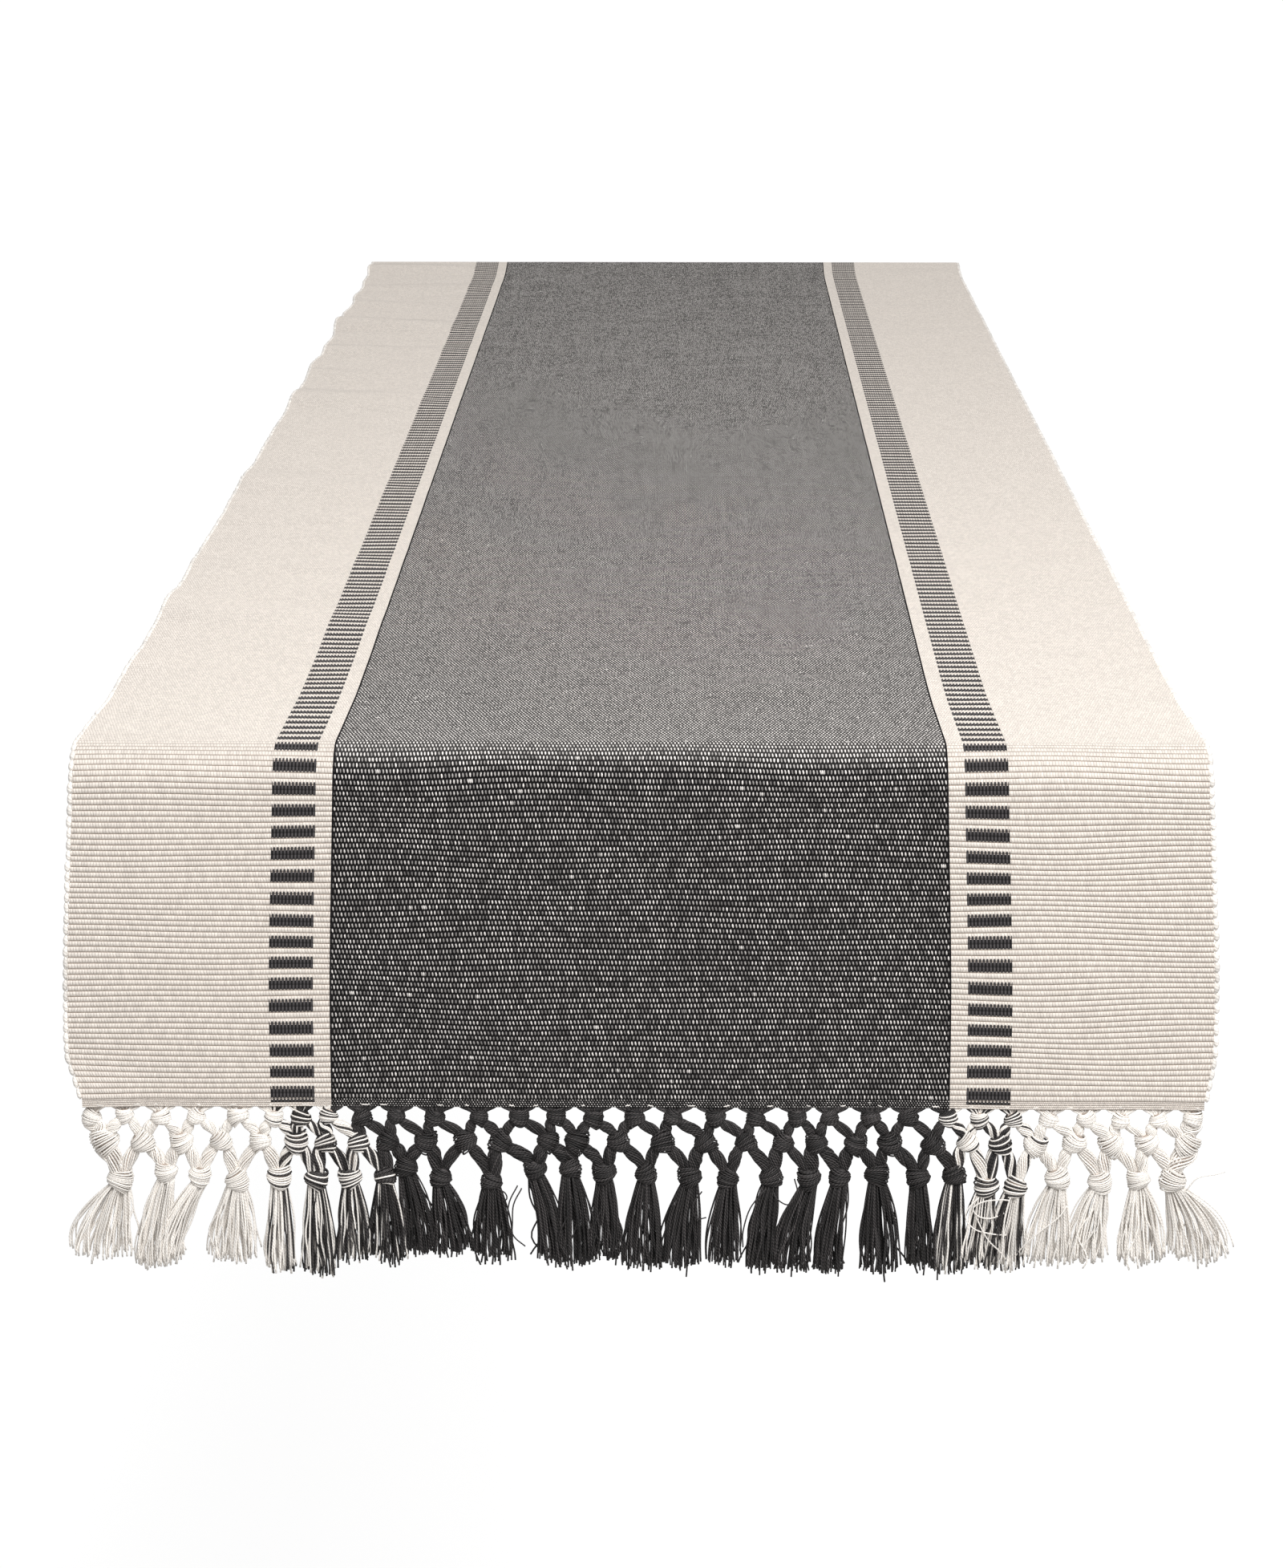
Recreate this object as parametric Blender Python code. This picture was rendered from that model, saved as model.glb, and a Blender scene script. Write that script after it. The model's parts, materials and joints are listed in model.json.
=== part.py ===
"""Table runner, draped: a ribbed woven cloth with a knotted net fringe at each end.

X runs across the width and Y along the length, with +Z up. The flat part of the cloth lies on
a table top, bends down over the edge at each end and hangs, and each end finishes in a header,
a net of three rows of knots and a row of tassels. The front end is the one at -Y, and left is
at -X. The origin is the centre of the underside of the flat part. All sizes are in metres.

Everything that turns hangs from an empty on its hinge axis: each drop folds up about its bend,
each net swings about the hem, and each row of tassels swings below the last row of knots.
"""

import math
from functools import partial

import bmesh
import bpy
from mathutils import Matrix, Vector

# Cloth
OVERALL_WIDTH = 0.4064
FLAT_LENGTH = 1.4300
CLOTH_THICKNESS = 0.0020
BEND_RADIUS = 0.0130  # to the middle of the cloth
DROP_LENGTH = 0.1190  # straight part of each drop, from the bend to the hem
HEADER_HEIGHT = 0.0031
HEADER_THICKNESS = 0.0014
SELVEDGE_DIAMETER = 0.0018

# Widths of the warp stripes, from the middle outwards. The borders take what is left.
CENTRE_WIDTH = 0.2180
STRIPE_WIDTH = 0.0058
DASH_WIDTH = 0.0155

# Fringe
FRINGE_LENGTH = 0.0600  # hem to tassel tips
TASSEL_COUNT = 29
ROW_DEPTHS = (0.0039, 0.0133, 0.0263)  # hem to the middle of each row of knots
ROW_INSETS = (0.0068, 0.0116, 0.0137)  # cloth edge to the first knot of each row
KNOT_WIDTH = 0.0060
KNOT_HEIGHT = 0.0064
NET_THICKNESS = 0.0024
NET_STRIP_HEIGHT = 0.0011  # closed strip along the top of the net
TASSEL_NECK_RADIUS = 0.0016
TASSEL_OVERLAP = 0.0004  # how far neighbouring skirts run into each other
TASSEL_SHOULDER_SHARE = 0.38  # of the tassel's length, where the skirt reaches its width
TASSEL_FLATTENING = 0.75  # depth of a tassel over its width
TASSEL_SIDES = 8

# Fits
GAP = 0.0003  # between pieces that touch
SWING_CLEARANCE = 0.0011  # above a swing axis, so that what hangs there can turn 60 degrees
SPLIT_ANGLE = math.radians(45)  # where a bend passes from the flat part to the drop
ARC_STEPS = 3  # segments in half a bend

# Worked out
BODY_WIDTH = OVERALL_WIDTH - 2 * (SELVEDGE_DIAMETER + GAP)
BORDER_WIDTH = (BODY_WIDTH - CENTRE_WIDTH) / 2 - STRIPE_WIDTH - DASH_WIDTH
MIDDLE_Z = CLOTH_THICKNESS / 2
HEM_Z = MIDDLE_Z - BEND_RADIUS - DROP_LENGTH
DROP_Y = FLAT_LENGTH / 2 + BEND_RADIUS
HALF_GAP_ANGLE = GAP / (2 * BEND_RADIUS)
NET_AXIS_Z = HEM_Z - SWING_CLEARANCE
NET_TOP_Z = NET_AXIS_Z - GAP / 2
ROW_Z = tuple(HEM_Z - depth for depth in ROW_DEPTHS)
TASSEL_AXIS_Z = ROW_Z[2] - KNOT_HEIGHT / 2 - SWING_CLEARANCE
TASSEL_TOP_Z = TASSEL_AXIS_Z - GAP / 2
TIP_Z = HEM_Z - FRINGE_LENGTH

ENDS = {"front": -1, "back": 1}

BANDS = (
    ("left_border", BORDER_WIDTH, "natural"),
    ("left_dash_band", DASH_WIDTH, "dashed"),
    ("left_stripe", STRIPE_WIDTH, "natural"),
    ("centre_panel", CENTRE_WIDTH, "pepper"),
    ("right_stripe", STRIPE_WIDTH, "natural"),
    ("right_dash_band", DASH_WIDTH, "dashed"),
    ("right_border", BORDER_WIDTH, "natural"),
)

# Colour zones of the fringe: first and last tassel from the left, and the yarn
ZONES = (
    ("natural_left", 0, 3, "natural"),
    ("mixed_left", 4, 7, "mixed"),
    ("charcoal", 8, 21, "charcoal"),
    ("mixed_right", 22, 24, "mixed"),
    ("natural_right", 25, TASSEL_COUNT - 1, "natural"),
)

YARNS = {
    "natural": (0.80, 0.74, 0.66),
    "dashed": (0.42, 0.39, 0.36),
    "pepper": (0.14, 0.13, 0.13),
    "mixed": (0.30, 0.28, 0.26),
    "charcoal": (0.030, 0.027, 0.028),
}


def clear_scene():
    """Remove every object of the start-up scene."""
    for obj in list(bpy.data.objects):
        bpy.data.objects.remove(obj, do_unlink=True)


def new_collection(name):
    """Add a collection to the scene."""
    collection = bpy.data.collections.new(name)
    bpy.context.scene.collection.children.link(collection)
    return collection


def yarn_material(name, colour):
    """A matt cotton material of one colour."""
    material = bpy.data.materials.new(name + "_cotton")
    material.use_nodes = True
    shader = material.node_tree.nodes["Principled BSDF"]
    shader.inputs["Base Color"].default_value = (*colour, 1.0)
    shader.inputs["Roughness"].default_value = 0.9
    shader.inputs["Metallic"].default_value = 0.0
    return material


def add_pivot(name, place, parent, collection):
    """An empty on a hinge axis. Its place is given in the world."""
    pivot = bpy.data.objects.new(name, None)
    pivot.empty_display_size = 0.02
    collection.objects.link(pivot)
    pivot.parent = parent
    pivot.location = Vector(place) - pivot_place(parent)
    return pivot


def pivot_place(pivot):
    """World place of an empty that turns with nothing yet, or the origin."""
    place = Vector()
    while pivot is not None:
        place = place + pivot.location
        pivot = pivot.parent
    return place


def add_part(name, data, pivot, material, collection):
    """Make an object of its data, whose coordinates start at its pivot."""
    obj = bpy.data.objects.new(name, data)
    collection.objects.link(obj)
    obj.parent = pivot
    data.materials.append(material)
    return obj


def bend(side, first, last, offset):
    """Points (y, z) round one bend between two angles, this far outside the middle of the cloth."""
    points = []
    radius = BEND_RADIUS + offset
    for step in range(ARC_STEPS + 1):
        angle = first + (last - first) * step / ARC_STEPS
        out = FLAT_LENGTH / 2 + radius * math.sin(angle)
        points.append((side * out, MIDDLE_Z - BEND_RADIUS + radius * math.cos(angle)))
    return points


def flat_path(offset):
    """The cloth from the middle of the front bend to that of the back one."""
    last = SPLIT_ANGLE - HALF_GAP_ANGLE
    return bend(-1, last, 0.0, offset) + bend(1, 0.0, last, offset)


def drop_path(side, offset):
    """The cloth from the middle of a bend down to the header."""
    foot = (side * (DROP_Y + offset), HEM_Z + HEADER_HEIGHT + GAP)
    return bend(side, SPLIT_ANGLE + HALF_GAP_ANGLE, math.pi / 2, offset) + [foot]


def header_path(side, offset):
    """The header, straight down to the hem."""
    y = side * (DROP_Y + offset)
    return [(y, HEM_Z + HEADER_HEIGHT), (y, HEM_Z)]


def strip(name, path, low_x, high_x, thickness, pivot, material, collection):
    """A strip of cloth: its outline seen from the side, extruded to its width.

    Args:
        path: function of an offset that gives the strip's line that far from its middle.
    """
    start = pivot_place(pivot)
    outline = path(thickness / 2) + path(-thickness / 2)[::-1]
    curve = flat_outline(name, [[(y - start.y, z - start.z) for y, z in outline]])
    curve.extrude = (high_x - low_x) / 2
    obj = add_part(name, curve, pivot, material, collection)
    obj.location.x = (low_x + high_x) / 2
    obj.rotation_euler = (math.pi / 2, 0.0, math.pi / 2)
    return obj


def flat_outline(name, outlines):
    """A filled 2D curve of one outline and the holes in it."""
    curve = bpy.data.curves.new(name, "CURVE")
    curve.dimensions = "2D"
    curve.fill_mode = "BOTH"
    for outline in outlines:
        spline = curve.splines.new("POLY")
        spline.points.add(len(outline) - 1)
        spline.use_cyclic_u = True
        for point, (across, up) in zip(spline.points, outline):
            point.co = (across, up, 0.0, 1.0)
    return curve


def cord(name, path, x, pivot, material, collection):
    """A selvedge cord: a round tube along the middle of the cloth, at one side of it."""
    start = pivot_place(pivot)
    curve = bpy.data.curves.new(name, "CURVE")
    curve.dimensions = "3D"
    curve.bevel_depth = SELVEDGE_DIAMETER / 2
    curve.bevel_resolution = 1
    curve.use_fill_caps = True
    line = path(0.0)
    spline = curve.splines.new("POLY")
    spline.points.add(len(line) - 1)
    for point, (y, z) in zip(spline.points, line):
        point.co = (*(Vector((x, y, z)) - start), 1.0)
    return add_part(name, curve, pivot, material, collection)


def cloth_section(suffix, path, pivot, materials, collection):
    """All stripes and both selvedges of one section of the cloth, along one path."""
    x = -BODY_WIDTH / 2
    for band, width, yarn in BANDS:
        strip(
            f"{band}_{suffix}",
            path,
            x + GAP / 2,
            x + width - GAP / 2,
            CLOTH_THICKNESS,
            pivot,
            materials[yarn],
            collection,
        )
        x += width
    cord_x = BODY_WIDTH / 2 + (GAP + SELVEDGE_DIAMETER) / 2
    for hand, sign in (("left", -1), ("right", 1)):
        name = f"{hand}_selvedge_{suffix}"
        cord(name, path, sign * cord_x, pivot, materials["natural"], collection)


def knot_x(row, index):
    """Place across the cloth of one knot. Row 0 has two more knots than there are tassels."""
    count = TASSEL_COUNT + 2 - row
    half = BODY_WIDTH / 2 - ROW_INSETS[row]
    return -half + 2 * half * index / (count - 1)


def net_opening(row, index):
    """Outline (x, z) of the diamond below two knots of row 0 or row 1."""
    left = knot_x(row, index) + KNOT_WIDTH / 2
    right = knot_x(row, index + 1) - KNOT_WIDTH / 2
    foot = (knot_x(row + 1, index), ROW_Z[row + 1] + KNOT_HEIGHT / 2)
    if row == 0:
        head = (knot_x(1, index), NET_TOP_Z - NET_STRIP_HEIGHT)
        high = ROW_Z[0]
    else:
        head = (knot_x(0, index + 1), ROW_Z[0] - KNOT_HEIGHT / 2)
        high = ROW_Z[1] + KNOT_HEIGHT / 5
    low = ROW_Z[row] - KNOT_HEIGHT / 5
    return [head, (left, high), (left, low), foot, (right, low), (right, high)]


def net_side(index, sign):
    """Outline points down one side of a zone, cut through the knots of the second row.

    Args:
        index: knot of the second row that the cut passes through.
        sign: -1 on the zone's left side, 1 on its right.
    """
    cut = knot_x(1, index) - sign * GAP / 2
    opening = net_opening(0, index)
    high, low = (opening[5], opening[4]) if sign < 0 else (opening[1], opening[2])
    return [
        (cut, NET_TOP_Z),
        (cut, opening[0][1]),
        high,
        low,
        (cut, opening[3][1]),
        (cut, ROW_Z[1] - KNOT_HEIGHT / 2),
    ]


def net_edge(sign):
    """Outline points down the outer side of the whole net."""
    points = [(sign * BODY_WIDTH / 2, NET_TOP_Z)]
    for row in (0, 1):
        x = sign * (-knot_x(row, 0) + KNOT_WIDTH / 2)
        points += [(x, ROW_Z[row] + KNOT_HEIGHT / 5), (x, ROW_Z[row] - KNOT_HEIGHT / 5)]
    return points


def net_foot(first, last):
    """Outline points along the bottom of a zone, from left to right."""
    points = []
    for index in range(first, last + 1):
        x = knot_x(2, index)
        for dx, dz in ((-1, 0.2), (-1, -0.2), (-0.7, -0.5), (0.7, -0.5), (1, -0.2), (1, 0.2)):
            points.append((x + dx * KNOT_WIDTH / 2, ROW_Z[2] + dz * KNOT_HEIGHT))
        if index < last:
            points.append((knot_x(1, index + 1), ROW_Z[1] - KNOT_HEIGHT / 2))
    return points


def net_zone(name, first, last, side, pivot, material, collection):
    """One colour zone of the net: a flat outline with its openings, extruded."""
    start = pivot_place(pivot)
    left = net_edge(-1) if first == 0 else net_side(first, -1)
    right = net_edge(1) if last == TASSEL_COUNT - 1 else net_side(last + 1, 1)
    outlines = [left + net_foot(first, last) + right[::-1]]
    outlines += [net_opening(0, index) for index in range(first, last + 2)]
    if first > 0:
        outlines.remove(net_opening(0, first))
    if last < TASSEL_COUNT - 1:
        outlines.remove(net_opening(0, last + 1))
    outlines += [net_opening(1, index) for index in range(first, last + 1)]
    curve = flat_outline(name, [[(x, z - start.z) for x, z in points] for points in outlines])
    curve.extrude = NET_THICKNESS / 2
    obj = add_part(name, curve, pivot, material, collection)
    obj.location.y = side * DROP_Y - start.y
    obj.rotation_euler.x = math.pi / 2
    return obj


def tassel_form(form, x, low_x, high_x):
    """Add one tassel to a bmesh: a cone with a shoulder, cut at the zone's two sides."""
    length = TASSEL_TOP_Z - TIP_Z
    pitch = knot_x(2, 1) - knot_x(2, 0)
    skirt = (pitch + TASSEL_OVERLAP) / 2
    tassel = bmesh.new()
    bmesh.ops.create_cone(
        tassel,
        cap_ends=True,
        segments=TASSEL_SIDES,
        radius1=skirt,
        radius2=TASSEL_NECK_RADIUS,
        depth=length,
        matrix=Matrix.Translation((0.0, 0.0, -length / 2)),
    )
    shoulder = Vector((0.0, 0.0, -length * TASSEL_SHOULDER_SHARE))
    everything = tassel.verts[:] + tassel.edges[:] + tassel.faces[:]
    cut = bmesh.ops.bisect_plane(tassel, geom=everything, plane_co=shoulder, plane_no=(0, 0, 1))
    ring = [item for item in cut["geom_cut"] if isinstance(item, bmesh.types.BMVert)]
    for vert in ring:
        spread = skirt / math.hypot(vert.co.x, vert.co.y)
        vert.co.x *= spread
        vert.co.y *= spread
    for vert in tassel.verts:
        vert.co.x += x
        vert.co.y *= TASSEL_FLATTENING
    for plane_x, outward in ((low_x, -1.0), (high_x, 1.0)):
        everything = tassel.verts[:] + tassel.edges[:] + tassel.faces[:]
        cut = bmesh.ops.bisect_plane(
            tassel,
            geom=everything,
            plane_co=(plane_x, 0.0, 0.0),
            plane_no=(outward, 0.0, 0.0),
            clear_outer=True,
        )
        rim = [item for item in cut["geom_cut"] if isinstance(item, bmesh.types.BMEdge)]
        if rim:
            bmesh.ops.holes_fill(tassel, edges=rim)
    bmesh.ops.recalc_face_normals(tassel, faces=tassel.faces)
    single = bpy.data.meshes.new("tassel")
    tassel.to_mesh(single)
    tassel.free()
    form.from_mesh(single)
    bpy.data.meshes.remove(single)


def tassel_zone(name, first, last, side, pivot, material, collection, helpers):
    """The tassels of one colour zone, whose skirts run together into one body."""
    start = pivot_place(pivot)
    sets = []
    for parity in (0, 1):
        form = bmesh.new()
        for index in range(first + parity, last + 1, 2):
            low_x, high_x = -OVERALL_WIDTH, OVERALL_WIDTH
            if index == first and first > 0:
                low_x = (knot_x(2, first - 1) + knot_x(2, first) + GAP) / 2
            if index == last and last < TASSEL_COUNT - 1:
                high_x = (knot_x(2, last) + knot_x(2, last + 1) - GAP) / 2
            tassel_form(form, knot_x(2, index), low_x, high_x)
        mesh = bpy.data.meshes.new(name)
        form.to_mesh(mesh)
        form.free()
        sets.append(mesh)
    place = (0.0, side * DROP_Y - start.y, TASSEL_TOP_Z - start.z)
    obj = add_part(name, sets[0], pivot, material, collection)
    obj.location = place
    between = add_part(name + "_between", sets[1], pivot, material, helpers)
    between.location = place
    between.hide_render = True
    between.display_type = "WIRE"
    union = obj.modifiers.new("run_together", "BOOLEAN")
    union.operation = "UNION"
    union.object = between
    return obj


def build_end(end, side, materials, collection, helpers):
    """One drop with its header, net and tassels, hung from three hinges."""
    out = side * (FLAT_LENGTH / 2 + BEND_RADIUS * math.pi / 4)
    up = MIDDLE_Z - BEND_RADIUS * (1 - math.pi / 4)
    fold = add_pivot(f"{end}_drop_fold", (0.0, out, up), None, collection)
    net_place = (0.0, side * DROP_Y, NET_AXIS_Z)
    net_swing = add_pivot(f"{end}_net_swing", net_place, fold, collection)
    tassel_place = (0.0, side * DROP_Y, TASSEL_AXIS_Z)
    tassel_swing = add_pivot(f"{end}_tassel_swing", tassel_place, net_swing, collection)

    cloth_section(f"{end}_drop", partial(drop_path, side), fold, materials, collection)
    half = BODY_WIDTH / 2
    strip(
        f"{end}_header",
        partial(header_path, side),
        -half,
        half,
        HEADER_THICKNESS,
        fold,
        materials["natural"],
        collection,
    )
    for zone, first, last, yarn in ZONES:
        cotton = materials[yarn]
        net_zone(f"{end}_net_{zone}", first, last, side, net_swing, cotton, collection)
        name = f"{end}_tassels_{zone}"
        tassel_zone(name, first, last, side, tassel_swing, cotton, collection, helpers)


def main():
    """Build the whole runner."""
    clear_scene()
    collection = new_collection("table_runner")
    helpers = new_collection("helpers")
    materials = {name: yarn_material(name, colour) for name, colour in YARNS.items()}
    cloth_section("top", flat_path, None, materials, collection)
    for end, side in ENDS.items():
        build_end(end, side, materials, collection, helpers)


main()
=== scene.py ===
"""The looks of a draped table runner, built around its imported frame.

The cloth is a ribbed cotton weave whose lengthwise threads cover the crosswise ones, so it shows
rows of small beads. Seven stripes of it lie side by side, with a looped selvedge at each side, a
finely woven header at each hem, a net of three rows of knots below that, and a row of tassels.

X runs across the runner, Y along it with the front end at -Y, and +Z is up, all in metres.
"""

import json
import logging
import math
from collections.abc import Sequence
from dataclasses import dataclass, field
from enum import Enum

import bpy
import numpy as np
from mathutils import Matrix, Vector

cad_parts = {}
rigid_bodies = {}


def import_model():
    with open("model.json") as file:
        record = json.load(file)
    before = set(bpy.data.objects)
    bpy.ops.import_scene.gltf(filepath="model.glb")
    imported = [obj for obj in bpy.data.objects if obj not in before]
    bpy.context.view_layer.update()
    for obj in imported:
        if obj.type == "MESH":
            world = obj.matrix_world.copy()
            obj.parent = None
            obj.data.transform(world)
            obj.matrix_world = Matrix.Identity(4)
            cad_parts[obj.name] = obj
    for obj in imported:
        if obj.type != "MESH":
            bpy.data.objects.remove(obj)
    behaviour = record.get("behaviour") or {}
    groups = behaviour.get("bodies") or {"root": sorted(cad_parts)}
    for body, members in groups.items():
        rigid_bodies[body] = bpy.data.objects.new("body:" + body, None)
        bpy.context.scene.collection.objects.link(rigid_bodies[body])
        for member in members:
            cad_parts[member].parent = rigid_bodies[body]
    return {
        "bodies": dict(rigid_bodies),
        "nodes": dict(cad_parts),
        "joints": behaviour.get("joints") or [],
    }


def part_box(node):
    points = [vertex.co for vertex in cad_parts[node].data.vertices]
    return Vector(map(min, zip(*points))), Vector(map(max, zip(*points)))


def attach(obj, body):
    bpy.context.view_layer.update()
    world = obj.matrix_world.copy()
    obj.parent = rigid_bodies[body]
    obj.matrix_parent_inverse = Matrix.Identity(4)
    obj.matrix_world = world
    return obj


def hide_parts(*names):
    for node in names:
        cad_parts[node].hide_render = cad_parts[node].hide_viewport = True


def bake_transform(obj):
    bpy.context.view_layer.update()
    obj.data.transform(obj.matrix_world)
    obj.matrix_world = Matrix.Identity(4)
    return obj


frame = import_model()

LOG = logging.getLogger("table_runner")
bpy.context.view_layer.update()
MM = 0.001
CREASE = 62.0  # degrees above which an edge of the cloth is drawn sharp
WEAVE_MAP = "Weave"  # across the cloth in metres, and ribs from the middle of its length
# On a yarn the same map holds its number plus the share of the way round it, and metres along.
BAKE_MAP = "OFBake"
Colour = tuple[float, float, float, float]
Point = tuple[float, float, float]


class End(Enum):
    """The two ends of the runner, with the sign of their Y."""

    FRONT = -1
    BACK = 1

    @property
    def label(self) -> str:
        """Name of the end as the frame's nodes spell it."""
        return self.name.lower()


class Pattern(Enum):
    """What a woven stripe shows."""

    NATURAL = "natural"
    DASHED = "dashed"
    PEPPER = "pepper"


@dataclass(frozen=True)
class Band:
    """One lengthwise stripe of the cloth.

    Args:
        name: start of its nodes' names.
        pattern: what it is woven in.
        slot: material slot of the record. Not used.
    """

    name: str
    pattern: Pattern
    slot: str


BANDS = (
    Band("left_border", Pattern.NATURAL, "natural_cotton"),
    Band("left_dash_band", Pattern.DASHED, "dashed_cotton"),
    Band("left_stripe", Pattern.NATURAL, "natural_cotton"),
    Band("centre_panel", Pattern.PEPPER, "pepper_cotton"),
    Band("right_stripe", Pattern.NATURAL, "natural_cotton"),
    Band("right_dash_band", Pattern.DASHED, "dashed_cotton"),
    Band("right_border", Pattern.NATURAL, "natural_cotton"),
)


@dataclass(frozen=True)
class Zone:
    """Tassels of one colour zone of the fringe, counted from the left.

    Args:
        name: end of its nodes' names.
        first: first tassel.
        last: last tassel.
        slot: material slot of the record. Not used.
    """

    name: str
    first: int
    last: int
    slot: str


ZONES = (
    Zone("natural_left", 0, 3, "natural_cotton"),
    Zone("mixed_left", 4, 7, "mixed_cotton"),
    Zone("charcoal", 8, 21, "charcoal_cotton"),
    Zone("mixed_right", 22, 24, "mixed_cotton"),
    Zone("natural_right", 25, 28, "natural_cotton"),
)


# ---------------------------------------------------------------- sizes and shapes


@dataclass(frozen=True)
class FrameSizes:
    """Sizes of the runner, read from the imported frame.

    Args:
        edges: where the stripes start and end across the cloth.
        half_width: from the middle to the outside of a selvedge.
        thickness: of the cloth over its ribs.
        bend: radius of the middle of the cloth round a table edge.
        flat_half: from the middle of the runner to a bend.
        drop_y: how far from the middle a drop hangs.
        hem_z: height of the hem.
        header_height: of the strip along the hem.
        header_thickness: of the same.
        tassel_axis_z: height of the line about which the tassels swing.
    """

    edges: tuple[float, ...]
    half_width: float
    thickness: float
    bend: float
    flat_half: float
    drop_y: float
    hem_z: float
    header_height: float
    header_thickness: float
    tassel_axis_z: float

    @classmethod
    def read(cls) -> "FrameSizes":
        """Read every size from the frame's boxes and hinges.

        Returns:
            The sizes.
        """
        boxes = [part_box(band.name + "_top") for band in BANDS]
        gap = boxes[1][0].x - boxes[0][1].x
        edges = [boxes[0][0].x - gap / 2]
        edges += [box[1].x + gap / 2 for box in boxes]
        hinges = {joint["name"]: joint["pos_m"] for joint in frame["joints"]}
        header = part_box("front_header")
        thickness = boxes[3][1].z
        bend = (thickness / 2 - hinges["front_drop_fold"][2]) / (1 - math.pi / 4)
        drop_y = -(header[0].y + header[1].y) / 2
        return cls(
            edges=tuple(edges),
            half_width=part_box("right_selvedge_top")[1].x,
            thickness=thickness,
            bend=bend,
            flat_half=drop_y - bend,
            drop_y=drop_y,
            hem_z=header[0].z,
            header_height=header[1].z - header[0].z,
            header_thickness=header[1].y - header[0].y,
            tassel_axis_z=hinges["front_tassel_swing"][2],
        )

    @property
    def drop_start(self) -> float:
        """Length of cloth from its middle to the foot of a bend."""
        return self.flat_half + self.bend * math.pi / 2

    @property
    def cloth_half(self) -> float:
        """Length of ribbed cloth from its middle to a header."""
        drop = self.thickness / 2 - self.bend - self.hem_z - self.header_height
        return self.drop_start + drop

    def ends_of_bend(self, end: End) -> tuple[Point, Point]:
        """Where the bend of one end starts and stops.

        Args:
            end: which end.

        Returns:
            The points at which it starts and stops.
        """
        middle = self.thickness / 2
        start = (0.0, end.value * self.flat_half, middle)
        stop = (0.0, end.value * self.drop_y, middle - self.bend)
        return start, stop


@dataclass(frozen=True)
class Waves:
    """A smooth unevenness over a surface, as a sum of seeded sines.

    Args:
        seed: starts the random choice of the sines.
        size: about the largest value.
        across: middling wave length across.
        along: middling wave length along.
        count: number of sines.
    """

    seed: int
    size: float
    across: float
    along: float
    count: int = 7

    def at(self, across: np.ndarray, along: np.ndarray) -> np.ndarray:
        """Value at each pair of places.

        Args:
            across: places across.
            along: places along.

        Returns:
            The unevenness there.
        """
        rng = np.random.default_rng(self.seed)
        total = np.zeros(np.broadcast(across, along).shape)
        for _ in range(self.count):
            turn_x = 2 * math.pi / self.across * rng.uniform(0.4, 1.6) * rng.choice((-1, 1))
            turn_y = 2 * math.pi / self.along * rng.uniform(0.4, 1.6)
            total = total + np.sin(turn_x * across + turn_y * along + rng.uniform(0, 2 * math.pi))
        return total * self.size / math.sqrt(self.count)


def smooth(value: np.ndarray, low: float, high: float) -> np.ndarray:
    """Rise from 0 at low to 1 at high with level ends.

    Args:
        value: where.
        low: start of the rise.
        high: end of the rise.

    Returns:
        How far it has risen there.
    """
    t = np.clip((value - low) / (high - low), 0.0, 1.0)
    return t * t * (3 - 2 * t)


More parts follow.
